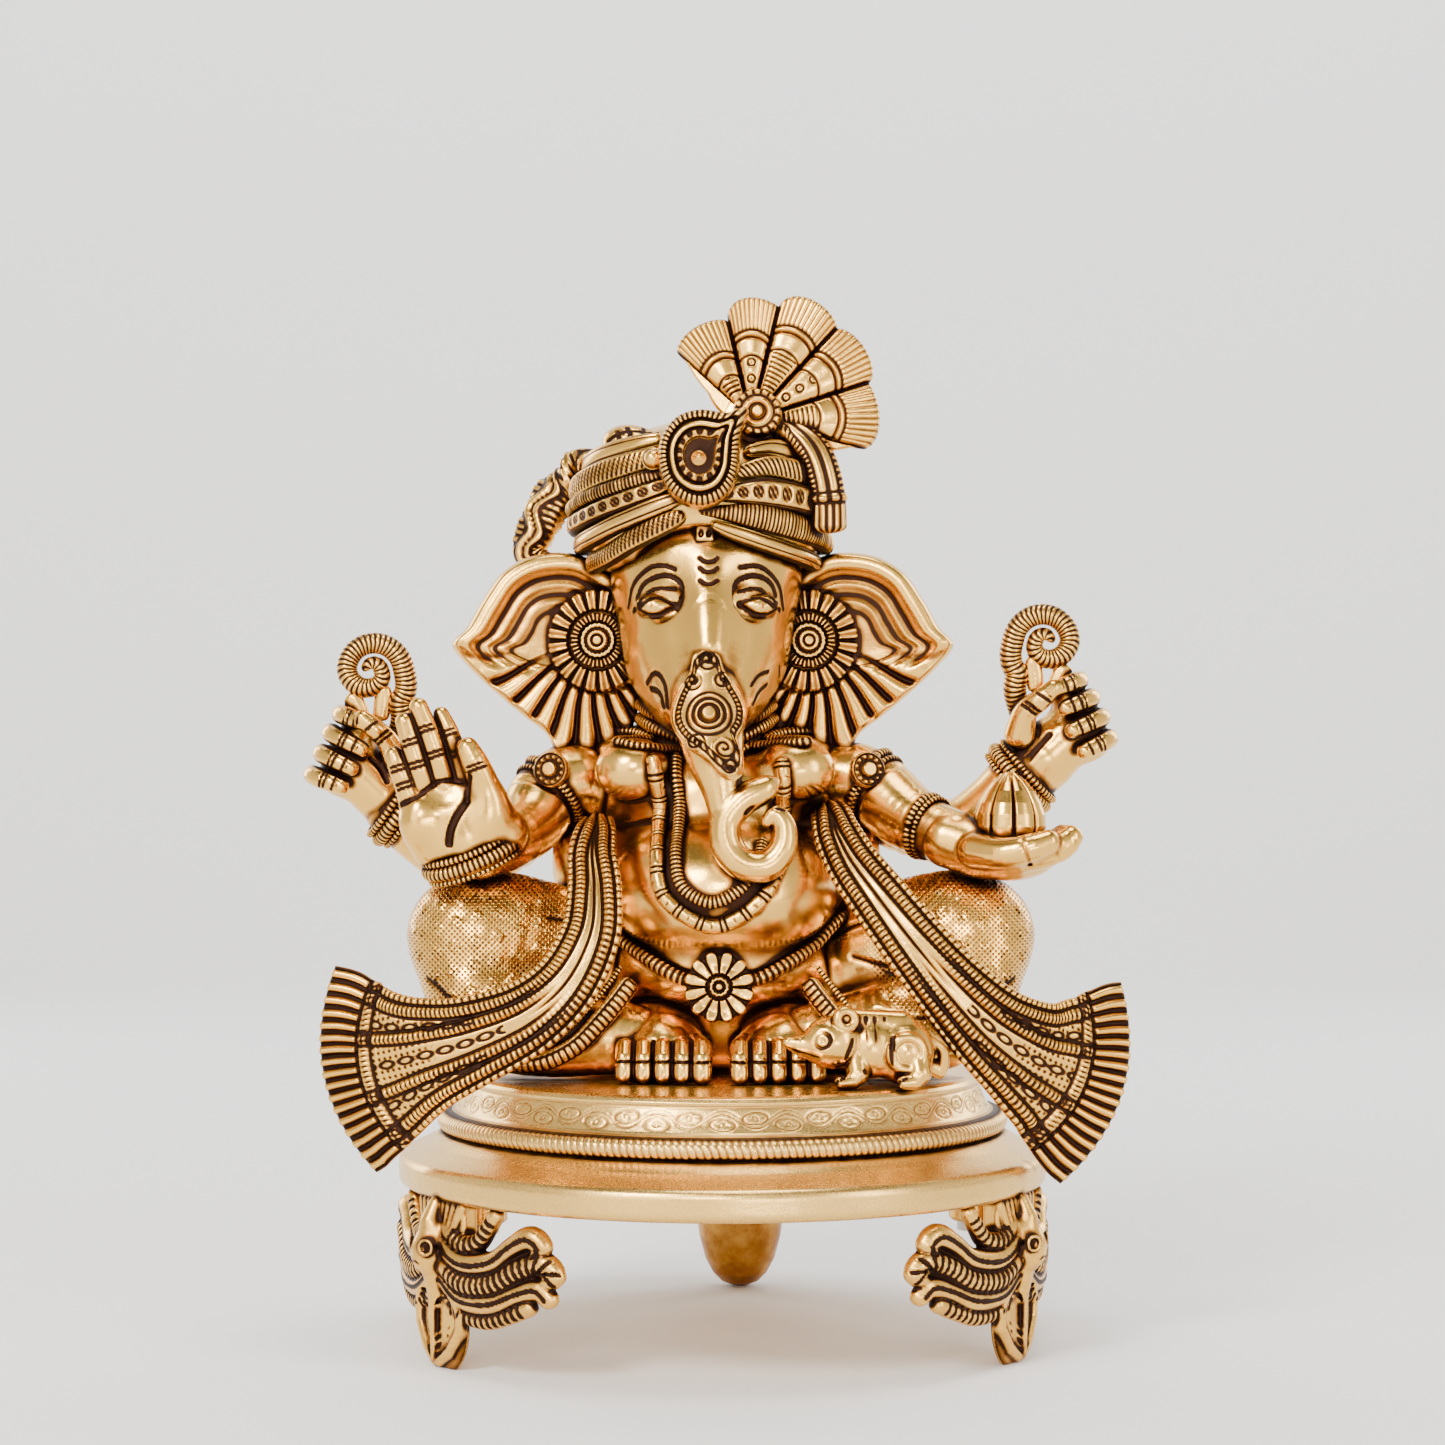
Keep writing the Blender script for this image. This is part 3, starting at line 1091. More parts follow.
def make_head():
    head = Sculpt()
    head.add(egg((-5, -1, 151), (29.3, 30, 30)))
    head.add(egg((-5, -7, 130), (25.4, 28, 25)), 7)
    head.add(rod([(-5, -16, 126, 19), (-4.8, -23, 116, 15.5), (-4.5, -28, 108, 11)]), 9)
    head.add(egg((-5, -2, 110), (16, 17, 11)), 7)
    head.add(rod([(-5, 2, 104, 14), (-5, 3, 99, 14)]), 4)
    head.add(rod([(-4, -26, 152, 4), (-3.6, -32, 140, 4), (-3.6, -37, 128, 4)]), 8)
    for side, outer, fold, lid, upper, lower, pupil in (
            (-1, [(-28.6, 141), (-27, 147.6), (-22.3, 152.2), (-18, 152.9), (-14.4, 151.7)],
             [(-26.8, 140), (-23.9, 147.4), (-17.6, 149.9), (-13.0, 148), (-12.2, 144), (-13.2, 139.8)],
             [(-26.6, 139.6), (-24, 143.4), (-20.4, 145.9), (-14.2, 145.6)],
             [(-25.4, 139.9), (-22.6, 142.6), (-19.4, 143.4), (-13.8, 141)],
             [(-25.0, 139.5), (-22.4, 138.1), (-18.8, 137.9), (-14, 140.4)], (-19.6, 140.7)),
            (1, [(5.4, 152.2), (10.4, 152.9), (14.4, 150.8), (17.4, 146.8), (18.6, 140.4)],
             [(4.2, 140.6), (3.6, 144.4), (4.6, 148), (9.6, 149.9), (14.8, 147.6), (17.4, 140)],
             [(5, 144.8), (10.4, 146), (14.6, 143.8), (17, 140.4)],
             [(5, 141.6), (9.6, 143.4), (13, 142.6), (16.4, 139.9)],
             [(5, 141), (9.2, 138.2), (13, 138.0), (16.2, 139.5)], (10.4, 140.8))):
        mid = arr(pupil)
        y = head.front([mid])[0, 1]
        head.cut(egg((mid[0], y - 2.0, mid[1] + 1), (8.6, 2.8, 5.6), (0, side * -6, 0)), 2.0)
        head.add(egg((mid[0], y + 3.0, mid[1]), (6.6, 4.6, 3.6), (0, side * -6, 0)), 0.4)
        for line, width in ((outer, 0.72), (fold, 0.8), (lid, 0.62), (upper, 0.72), (lower, 0.78)):
            fine = drawn(line)
            head.groove(head.front(fine, 0.25), width, 0.2)
        head.cut(hoop(head.front([mid], 0.1)[0], (0.1 * side, -1, 0), 1.75, 0.42), 0.2)
    for line, width in (([(-22.8, 117.6), (-20.2, 120.8), (-17.4, 117.4), (-16.5, 110.4)], 0.7),
                        ([(-21.6, 116), (-18.9, 114.8), (-17.8, 110.6)], 0.9),
                        ([(8.8, 117), (11, 120), (13.8, 121.2)], 0.6),
                        ([(9.4, 111.4), (11, 115), (13.4, 117.2)], 0.7), ([(17.4, 123), (17.3, 120)], 0.5)):
        fine = drawn(line)
        head.groove(head.front(fine, 0.2), width, 0.4)
    for z in (154.0, 151.0, 147.3):
        head.groove(head.front([(-6.8, z + 0.8), (-5.6, z - 0.1), (-4.1, z - 0.5), (-2.6, z - 0.1),
                                (-1.4, z + 0.8)], 0.15), 0.62, 0.2)
    drop = head.front([(-5.2, 162.4)], 0)[0]
    head.add(slab(drop - [0, 0.6, 0], (2.7, 1.5, 2.6), 0.8), 0.3)
    for dx in (-1.2, 1.2):
        head.cut(egg(drop + [dx, -2.2, -0.3], (0.7, 1.2, 1.2)), 0.2)
    make("head", [mesh_field(head)])

    rows = [(-5, -12, 132, 9), (-5, -22, 122, 12), (-4.5, -32, 113, 11), (-3.6, -38, 104, 9.8),
            (-2.0, -41, 95, 8.2), (-0.4, -43, 87, 6.0), (0.2, -44.4, 80, 4.4)]
    coil = [(14.8, -43.6, 88.2, 2.0), (11.6, -44.4, 86, 4.2), (5.6, -45, 82.8, 4.7), (1.0, -45.4, 76.6, 4.7),
            (1.6, -46, 69.4, 4.8), (6.2, -46.6, 64.4, 4.8), (12.8, -46.8, 64, 4.6), (17.4, -46.6, 68.8, 4.1),
            (18.1, -46.2, 75, 3.5), (15.6, -46.2, 78.8, 2.8), (13.2, -46.6, 77.2, 2.1)]
    trunk = Sculpt().add(rod(spline(rows, 1.5)))
    trunk.add(rod(spline(coil, 1.0)), 0.6)
    trunk.groove([(-5.4, -51, 84.6), (-1.4, -51.4, 84.2), (3.4, -50.6, 88.4)], 0.6, 0.5)
    trunk.groove([(6.4, -47.6, 79.6), (9.6, -48.6, 80.8), (13.6, -49, 81.6), (18, -48, 80.6)], 0.8, 0.6)
    make("trunk", [mesh_field(trunk)])
    make_pendant()


def make_pendant():
    def pendant(rho, t, x, z):
        d = np.hypot(x, z + 2)
        edge = bump(rho - 0.93, 0.05)
        bead = bump(rho - 0.80, 0.06) * (0.5 + 0.5 * np.cos(t * 40))
        boss = 1.8 * (1 - smoothstep(1.5, 2.6, d)) + 0.9 * bump(d - 3.7, 0.5) + 0.9 * bump(d - 5.6, 0.6)
        curl, hollow = 0 * x, 0 * x
        for sx, sz, turns, size in ((0, 14.6, 1, 3.4), (-4.4, 8.4, 1, 3.0), (4.4, 8.2, -1, 3.0),
                                    (-4.2, -10.6, -1, 3.2), (4.0, -12.6, 1, 3.6), (5.4, -19.0, -1, 2.8)):
            e, f = np.hypot(x - sx, z - sz), np.arctan2(z - sz, x - sx)
            wave = np.cos(TURN * (e / 2.1) - turns * f)
            inside = smoothstep(size, size - 0.6, e) * (d > 6.3)
            curl = np.maximum(curl, inside * (0.5 + 0.5 * wave))
            hollow = np.maximum(hollow, inside * smoothstep(-0.2, -0.95, wave))
        h = 1.5 + 0.9 * edge + 0.7 * bead + boss + 0.9 * curl - 0.035 * x * x
        groove = (bump(rho - 0.865, 0.022) + 0.8 * bump(rho - 0.735, 0.025) * (d > 6.4)
                  + 0.6 * bump(rho - 0.80, 0.07) * (0.5 - 0.5 * np.cos(t * 40)))
        rings = (bump(d - 2.9, 0.3) + bump(d - 4.7, 0.33) + bump(d - 6.6, 0.35)) * 0.95
        return h, np.clip(groove + rings + hollow, 0, 1)
    pear = traced([(0, 19.4), (3.6, 17.4), (5.2, 12), (8.0, 7.4), (11, 1), (10.6, -5), (8.2, -10),
                   (9.4, -15), (9.2, -20), (6.2, -22.6), (2.4, -20.6), (-1.6, -16), (-6.4, -12), (-10.4, -6),
                   (-11.2, 0), (-8.6, 6.6), (-5.4, 11.6), (-3.8, 17.2)])
    make("trunk_ornament", [medal((-4.0, -45.0, 109.6), (-0.03, -1, 0.36), (-0.05, 0, 1), pendant, pear, 4.5,
                                  90, 330)])


EAR = [(-25, 114), (-30, 100), (-38, 93.5), (-49.7, 95), (-54.4, 103), (-62, 109), (-71, 116.6),
       (-79, 124.3), (-83.5, 130.5), (-79, 136), (-74.3, 144.3), (-68, 153), (-59, 158), (-47, 159),
       (-37.5, 155), (-29, 147), (-24, 132)]


def make_ears():
    middle = (-48, 127)
    outline = traced([(a - middle[0], b - middle[1]) for a, b in EAR])

    def front(rho, t, x, z):
        away = (1 - rho) * outline(t)
        upper = smoothstep(-9, 1, z + 0.12 * x) * smoothstep(24, 12, x)
        rim = smoothstep(7.6, 4.6, away)
        lip = bump(away - 3.4, 2.6)
        fold = 1.0 * bump(away - 10.4, 1.3) + 0.8 * bump(away - 15.6, 1.4)
        turn, reach = np.degrees(np.arctan2(z - 5, x - 10)), np.hypot(z - 5, x - 10)
        low = smoothstep(4, -6, z) * smoothstep(14.5, 18, reach)
        fan = turn + 4 * np.sin(reach * 0.14)
        ditch = bump(nearest(fan, 13.5), 2.1) * low * smoothstep(0.4, 2.6, away)
        swell = np.abs(np.sin(math.pi * (fan / 13.5))) * low
        dish = smoothstep(4, 12, away)
        h = (3.2 + upper * (2.4 * rim + 0.8 * lip + fold - 1.6 * dish) + (1 - upper) * (1.2 * swell - 0.4)
             - 1.3 * ditch)
        cut = (bump(away - 7.9, 0.8) + 0.9 * bump(away - 13.2, 0.7) + 0.7 * bump(away - 18.2, 0.7)) * upper
        return h, np.clip(cut + ditch * 1.1 + 0.25 * dish * upper, 0, 1)

    def rear(rho, t, x, z):
        away = (1 - rho) * outline(t)
        vein = bump(nearest(t * 9 / TURN, 1), 0.1) * smoothstep(3, 8, away)
        return (1.2 * bump(away - 2.8, 2.2) + 0.9 * smoothstep(2, 14, away) - 0.5 * vein,
                np.clip(bump(away - 6, 0.9) * 0.7 + 0.5 * vein, 0, 1))
    lean = 0.122
    place = (-30 - 18 * math.cos(lean), 6 - 18 * math.sin(lean), middle[1])
    right = medal(place, (lean, -0.993, 0), (0, 0, 1), front, outline, 1.6, 130, 460, 1.8, rear)
    make("right_ear", [right])
    make("left_ear", [right.mirrored(-6)])

    def flower(rho, t, x, z):
        r = rho * 15.8
        leaf = wheel(t, 20)
        zone = smoothstep(9.0, 9.8, r)
        petal = zone * (1 - smoothstep(0.5, 1.0, leaf))
        ribs_in = smoothstep(5.8, 6.3, r) * (1 - smoothstep(8.2, 8.7, r))
        rib = 0.5 + 0.5 * np.cos(t * 36)
        h = 1.4 + 2.1 * petal * (1 - 0.3 * smoothstep(12.5, 15.6, r)) - 0.5 * zone * bump(leaf, 0.22)
        h = h + ribs_in * (1.7 + 0.5 * rib) + 1.9 * smoothstep(5.6, 5.1, r) - 0.9 * smoothstep(4.4, 4.0, r)
        h = h + 2.2 * smoothstep(3.6, 2.8, r) - 0.8 * bump(r - 1.7, 0.35)
        cav = (zone * smoothstep(0.62, 0.95, leaf) + bump(r - 9.2, 0.45) + bump(r - 5.8, 0.35)
               + bump(r - 3.8, 0.4))
        cav = cav + ribs_in * (1 - rib) * 0.8 + bump(r - 1.7, 0.35) + 0.35 * zone * bump(leaf, 0.22)
        return h, np.clip(cav, 0, 1)
    edge = lambda t: 15.9 - 0.7 * np.abs(np.cos(t * 10)) ** 4
    right = medal((-38, 1.0, 131.8), (-0.12, -1, 0), (0, 0, 1), flower, edge, 0.6, 100, 520)
    make("right_ear_rosette", [right])
    make("left_ear_rosette", [right.mirrored(-6)])


# ---- Turban ----

def strip_relief(kind):
    """Cast pattern across a wound strip; a runs across it."""
    def relief(s, a, b, length):
        face = smoothstep(0.2, 0.6, np.abs(b))
        inside = smoothstep(0.8, 0.66, np.abs(a)) * face
        round_top = 0.55 * np.sqrt(np.clip(1 - a * a, 0, 1)) * face
        if kind == "hatch":
            g = bump(nearest(s + 1.6 * a, 1.65), 0.36) * inside
        elif kind == "rings":
            r = np.hypot(nearest(s, 4.6), a * 3.4)
            g = (bump(r - 1.35, 0.32) + bump(r, 0.42)) * inside
            g = np.maximum(g, bump(np.abs(a) - 0.78, 0.06) * face)
        elif kind == "ribs":
            g = bump(nearest(s, 1.25), 0.3) * smoothstep(0.97, 0.85, np.abs(a)) * face
        else:
            g = bump(np.abs(a) - 0.45, 0.06) * face * 0.9
        g = np.clip(g, 0, 1)
        return round_top - 0.5 * g, np.maximum(g, smoothstep(0.8, 0.97, np.abs(a)))
    return relief


STRIPS = [
    ("hatch", [(-98, 167.6, 1.6), (-106, 165.6, 2.8), (-125, 161.0, 3.1), (-150, 156.4, 3.1),
               (-185, 155.2, 3.0), (-225, 157, 3.0), (-272, 160, 3.0)]),
    ("plain", [(-100, 172.6, 1.8), (-110, 170.4, 2.6), (-130, 166.2, 2.7), (-155, 162.2, 2.7),
               (-185, 161, 2.7), (-225, 163, 2.7), (-272, 165.8, 2.7)]),
    ("rings", [(-104, 177.2, 1.8), (-114, 175, 2.6), (-135, 171.2, 2.8), (-160, 167.8, 2.8),
               (-190, 166.8, 2.8), (-225, 168.8, 2.8), (-272, 171.4, 2.8)]),
    ("ribs", [(-106, 181, 1.2), (-116, 179, 2.0), (-140, 175.6, 2.1), (-170, 172.4, 2.1), (-195, 171.8, 2.1),
              (-230, 173.8, 2.1), (-272, 176.2, 2.1)]),
    ("hatch", [(-110, 186, 1.8), (-122, 184.4, 3.4), (-145, 181.4, 3.7), (-175, 178, 3.7),
               (-200, 177.4, 3.6), (-235, 179, 3.6), (-272, 181.8, 3.4)]),
    ("plain", [(-116, 191, 2), (-130, 189.8, 3.0), (-155, 187.6, 3.1), (-190, 185, 3.2), (-235, 186, 3.2),
               (-272, 188, 3.0)]),
    ("plain", [(-86, 164.8, 1.0), (-74, 162.4, 2.2), (-55, 159.4, 2.5), (-30, 156.8, 2.5), (0, 155.6, 2.5),
               (45, 157.5, 2.5), (92, 160, 2.5)]),
    ("ribs", [(-92, 168.6, 1.0), (-80, 168.2, 2.2), (-62, 167, 3.9), (-42, 164.8, 4.0), (-22, 162.8, 3.4),
              (0, 161.4, 3.0), (45, 163.2, 3.0), (92, 165.6, 3.0)]),
    ("rings", [(-86, 172.6, 1.0), (-76, 173.6, 2.6), (-60, 174.4, 4.3), (-40, 173.2, 4.4), (-20, 170.4, 3.8),
               (0, 168.4, 3.2), (45, 169.6, 3.0), (92, 171.4, 3.0)]),
    ("hatch", [(-80, 178.6, 1.2), (-68, 180.8, 2.4), (-52, 182.4, 3.4), (-30, 180.4, 3.6), (0, 175.6, 3.6),
               (45, 176.2, 3.4), (92, 177.6, 3.2)]),
    ("plain", [(-66, 187, 1.6), (-45, 188.4, 3.0), (-10, 184.6, 3.4), (30, 182.8, 3.3), (92, 183.6, 3.2)]),
    ("ribs", [(-50, 193, 1.6), (-20, 191.8, 2.8), (40, 189, 3.0), (92, 189, 2.8)])]


def make_turban():
    guide = Sculpt().add(egg((-6, 1, 171), (39.6, 35.4, 29.5)))
    core = Sculpt()
    core.add(egg((-6, 1, 171), (38.6, 34.6, 28.6)))
    core.cut(egg((-5, -42, 145), (33, 34, 20.5)), 1)
    core.cut(slab((-6, 0, 140), (60, 60, 12.5), 1), 1)
    core.add(egg((-27, -7, 190.6), (10, 9.4, 6.6), (0, 14, 0)), 1)
    core.add(egg((-2, 8, 194), (20, 16, 6)), 3)
    for k in range(9):
        a = math.radians(20 + 38 * k)
        core.groove([(-4 + 3 * math.cos(a), 8 + 3 * math.sin(a), 200.4),
                     (-4 + 12 * math.cos(a + 0.3), 8 + 10 * math.sin(a + 0.3), 199),
                     (-5 + 24 * math.cos(a + 0.5), 5 + 20 * math.sin(a + 0.5), 194)], 0.8, 1.2)
    for line in ([(-36, 188), (-31, 191.4), (-25, 192), (-19, 190)],
                 [(-35, 191.6), (-29, 194.6), (-22, 194.4)],
                 [(-34, 186), (-27, 188), (-20, 187.4)], [(-29, 196), (-27.4, 192)], [(-24, 196), (-24, 192)],
                 [(-32, 194.6), (-31, 191)], [(-20, 194), (-20.6, 190)]):
        line = line if len(line) > 2 else [line[0], tuple(np.mean(line, axis=0)), line[1]]
        core.groove(core.front(line, 0.1), 0.55, 0.5)
    shells = [mesh_field(core)]
    middle = arr([-6, 1, 0])
    for kind, stops in STRIPS:
        stops = arr(stops)
        line = spline(np.column_stack([stops[:, :2] * [0.62, 1], np.zeros(len(stops)), stops[:, 2]]), 1.0)
        a, z, half = np.radians(line[:, 0] / 0.62), line[:, 1], line[:, 3]
        out = np.stack([np.cos(a), np.sin(a), np.zeros(len(a))], 1)
        p = middle + 60 * out
        p[:, 2] = z
        for _ in range(40):
            p -= out * np.clip(guide.at(p), -4, 4)[:, None] * 0.7
        shells.append(loft(np.column_stack([p, half, np.full(len(p), 2.3)]), (0, 0, 1), strip_relief(kind),
                           36, 2.9, 0.45, 1.6))
    make("turban", shells)

    tail = [(-37, 17, 187, 5, 3.4), (-44, 19, 186, 7.2, 4), (-51, 18.6, 181, 7.6, 4.2),
            (-55.6, 17.4, 173, 7.2, 4.2), (-58.6, 16.5, 166, 6.4, 4), (-60.4, 16, 160, 5.2, 3.6),
            (-56.6, 15.5, 156.4, 4.2, 3), (-52.6, 15.4, 159, 3, 2.6)]

    def tail_relief(s, a, b, length):
        face = smoothstep(0.15, 0.5, np.abs(b))
        wave = a - 0.3 * np.sin(s * 0.42)
        lines = bump(np.abs(wave) - 0.5, 0.1) + bump(wave, 0.07)
        g = bump(nearest(s, 2.1), 0.4) * (np.abs(wave) > 0.56)
        cut = np.clip(lines + g, 0, 1) * face
        return 0.9 * (np.abs(np.sin(wave * 4.2))) * face - 0.8 * cut, cut
    make("turban_tail", [loft(tail, (0.75, -0.15, 0.65), tail_relief, 48, 2.2, 0.45)])
    strap = [(15, -15, 194.6, 3.6, 3), (22, -17, 193, 4.6, 3.4), (27.6, -19, 187.6, 5.2, 3.6),
             (30.6, -20, 180, 5.4, 3.6), (31.8, -20, 172, 5.4, 3.6), (32, -19.4, 163, 5.6, 3.2)]

    def strap_relief(s, a, b, length):
        rest = length - s
        face = smoothstep(0.2, 0.6, np.abs(b))
        fringe = smoothstep(9.6, 9.2, rest)
        bar = bump(rest - 10.6, 0.9)
        strands = bump(comb(a * 2.6), 0.35) * fringe
        lines = (bump(np.abs(a) - 0.62, 0.08) + bump(a, 0.06)) * (1 - fringe)
        hatch = bump(nearest(s, 1.7), 0.34) * (np.abs(a) > 0.68) * (1 - fringe) * (1 - bar)
        marks = bump(rest - 12.2, 0.35) + bump(rest - 9.1, 0.35)
        cut = np.clip(strands + lines + hatch + marks, 0, 1) * face
        return 0.8 * bar - 0.55 * cut, cut
    make("turban_tassel", [loft(strap, (1, 0.1, -0.1), strap_relief, 44, 2.6, 0.35)])

    def brooch(rho, t, x, z):
        rim = rho * 13.0
        hatch = bump(wheel(t, 52), 0.45) * smoothstep(9.9, 10.3, rim) * (1 - smoothstep(12.4, 12.7, rim))
        beads = bump(rim - 6.1, 0.8) * (0.5 + 0.5 * np.cos(t * 14))
        h = 6.4 * (1 - 0.4 * rho ** 2) + 0.9 * bump(rim - 11.2, 1.4) + 0.8 * bump(rim - 8.5, 0.9)
        h = h - 0.5 * hatch - 1.3 * bump(rim - 9.7, 0.42) - 1.1 * bump(rim - 7.3, 0.38)
        d = np.hypot(x + 0.3, z + 0.8)
        h = h + 0.9 * beads - 1.3 * smoothstep(5.2, 4.7, rim) + 2.2 * bump(d, 1.7)
        drop = smoothstep(4.9, 4.4, rim) * smoothstep(1.9, 2.6, d)
        cav = (hatch * 0.8 + bump(rim - 9.7, 0.5) + bump(rim - 7.3, 0.45)
               + bump(rim - 6.1, 0.9) * (0.5 - 0.5 * np.cos(t * 14)) + 0.9 * drop)
        return h, np.clip(cav, 0, 1)
    paisley = traced([(11.8, 2), (12.4, 8), (14.2, 15.2), (7.8, 13.8), (0, 14.8), (-7, 12.6), (-11.6, 6.4),
                      (-12.4, -1), (-10.2, -8.7), (-4.8, -13.8), (1.5, -15), (7.6, -12), (11, -5.5)])
    pearl = Sculpt().add(egg((-20.6, -35.0, 184), (2.7, 2.8, 2.7)))
    pearl.add(hoop((-20.6, -34.2, 184), (0, -1, 0), 2.8, 0.6), 0.2)
    make("turban_brooch", [medal((-6.6, -36, 183.6), (-0.02, -1, 0.12), (0, 0, 1), brooch, paisley, 5.0, 100,
                                 468, 1.2),
                           mesh_field(pearl, 0.35)])


# ---- Plume ----

def make_plume():
    """A fan of five feathers, worked out in the polar frame of its root."""
    splits = arr([-14, 18.3, 47.6, 76.4, 102.8, 137])
    peaks, waist = arr([39.2, 41.4, 41.8, 38, 33.4]), arr([34.5, 37.4, 38.4, 36, 31.4, 30])
    lower = [(137, 27), (146, 16), (165, 9), (200, 7), (250, 7.5), (300, 9), (328, 14), (338, 24), (346, 32)]

    def outline(t):
        deg = np.degrees(t) % 360
        rest = np.interp(deg, [a for a, _ in lower], [r for _, r in lower])
        turn = np.where(deg > 300, deg - 360, deg)
        k = np.clip(np.searchsorted(splits, turn) - 1, 0, 4)
        across = np.clip((turn - splits[k]) / (splits[k + 1] - splits[k]) * 2 - 1, -1, 1)
        edge = waist[k] + (waist[k + 1] - waist[k]) * (across + 1) / 2
        lobe = edge + (peaks[k] - edge) * np.sqrt(np.clip(1 - across ** 2, 0, 1))
        return np.where((turn > -14) & (turn < 137), lobe, rest)

    def fan(rho, t, x, z):
        deg = (np.degrees(t) + 60) % 360 - 60
        reach = rho * outline(t)
        number = np.clip(np.searchsorted(splits, deg.ravel()).reshape(deg.shape) - 1, 0, 4)
        low, high = splits[number], splits[number + 1]
        across = (deg - low) / (high - low) * 2 - 1
        inside = ((deg > -14) & (deg < 137)).astype(float)
        bulge = np.sqrt(np.clip(1 - across ** 2, 0, 1))
        wide = reach * np.radians(high - low) / 2
        gap = bump((1 - np.abs(across)) * wide, 0.5) * smoothstep(4, 9, reach) * inside
        arc = reach + 1.8 * across ** 2
        tip = smoothstep(peaks[number] - 10.6, peaks[number] - 10, arc) * inside
        fine = tip * bump(comb(across * 5.5), 0.36) * smoothstep(1.0, 0.9, np.abs(across))
        cross = sum(bump(arc - (peaks[number] - w), 0.42) for w in (10.6, 12.8, 18.4)) * inside * (reach > 9)
        body = inside * (arc < peaks[number] - 19) * (reach > 8.5)
        hatch = body * bump(comb(reach / 1.5), 0.42) * (np.abs(across) < 0.72)
        ring = np.hypot(((reach / 5.0) % 1 - 0.5) * 5.0, across * wide)
        circle = body * (bump(ring - 1.15, 0.34) + 0.8 * bump(ring, 0.35))
        inner = np.where(number % 2 == 1, circle, hatch)
        h = 1.6 + 2.6 * bulge * smoothstep(3, 14, reach) * inside + 1.2 * smoothstep(9, 4, reach)
        h = h + 0.5 * bump(arc - (peaks[number] - 11.7), 0.6) * inside
        h = h - 1.8 * gap - 0.35 * fine - 0.5 * inner - 0.6 * cross
        return h, np.clip(gap * 1.2 + 0.6 * fine + 0.9 * inner + 0.85 * cross, 0, 1)

    def rear(rho, t, x, z):
        h, c = fan(rho, t, x, z)
        return 0.75 * (h - 1.6), c * 0.9
    blade = medal((8.6, -14.4, 197.5), (0.02, -1, 0.06), (0, 0, 1), fan, outline, 2.0, 110, 700, 1.6, rear)
    stem = Sculpt().add(rod([(7, -14, 188, 6.5), (8.4, -15, 196, 6), (9.6, -15.4, 203, 4.5)]))
    make("plume", [blade, mesh_field(stem)])

    def flower(rho, t, x, z):
        r = rho * 7.4
        h = 3.6 + 0.9 * bump(r - 6.2, 0.8) + 0.8 * bump(r - 3.7, 0.8) + 2.0 * smoothstep(2.2, 1.2, r)
        spokes = bump(wheel(t, 16), 0.4) * smoothstep(5.3, 5.6, r)
        return h - 0.4 * spokes, np.clip(bump(r - 5.0, 0.4) + bump(r - 2.5, 0.4) + 0.7 * spokes, 0, 1)
    make("plume_rosette", [medal((10.4, -20.4, 199), (0, -1, 0.1), (0, 0, 1), flower, lambda t: 7.4 + 0 * t,
                                 2.5, 50, 300)])


# ---- Hands and what they hold ----

def creased(sculpt, line, shares, radius=0.34):
    """Short cross cuts on the front of a finger."""
    p = spline(line, 0.5)
    for share in shares:
        q = p[int(len(p) * share)]
        across = unit(np.cross(p[-1, :3] - p[0, :3], [0, 1, 0]))
        for shift in (0.0, 1.0):
            c = q[:3] + unit(p[-1, :3] - p[0, :3]) * shift * 1.5
            aside, back = across * q[3] * 0.9, [0, q[3] * 0.7, 0]
            sculpt.groove([c - aside - back, c - [0, q[3] + 0.1, 0], c + aside - back], radius, 0.2)


FISTS = {
    "right_rear_hand": ([[(-97, 2, 78, 8.6), (-104, 1, 85, 9.6), (-111, 0, 91.5, 9.2)],
                         [(-118, 0, 90.5, 6), (-114.5, 0, 98, 6.4), (-111, 0, 105, 5.4)]],
                        [((-116.4, 109), (-109.6, 106.6)), ((-119.4, 103.2), (-109.4, 98.4)),
                         ((-122.2, 97), (-112.6, 92.6)), ((-125, 90.4), (-115.6, 87))],
                        [(-99, -7, 95, 4.2), (-101.6, -10.4, 100.8, 3.4), (-105.2, -13, 104.4, 3.1),
                         (-108.8, -13.4, 107.6, 2.5)],
                        [(-107, 95.6), (-104, 92.6), (-102, 88.6)]),
    "left_rear_hand": ([[(92, 2, 89.6, 10), (98.6, 1, 96, 10.6), (105, 0, 101.5, 9.4)],
                        [(113, 0, 101, 6), (110, 0, 108, 6.4), (106, 0, 115, 5.4)]],
                       [((109, 119.4), (102.4, 117)), ((112.6, 114), (104, 110.8)),
                        ((115.6, 108), (106.2, 104)), ((118, 101.6), (109.8, 97.6))],
                       [(90.6, -7, 103, 4.8), (92, -10.4, 109.4, 3.7), (96.2, -13, 113.2, 3.3),
                        (100, -13.4, 116.6, 2.7)],
                       [(99.4, 102.8), (96, 99), (93, 95.4)])}


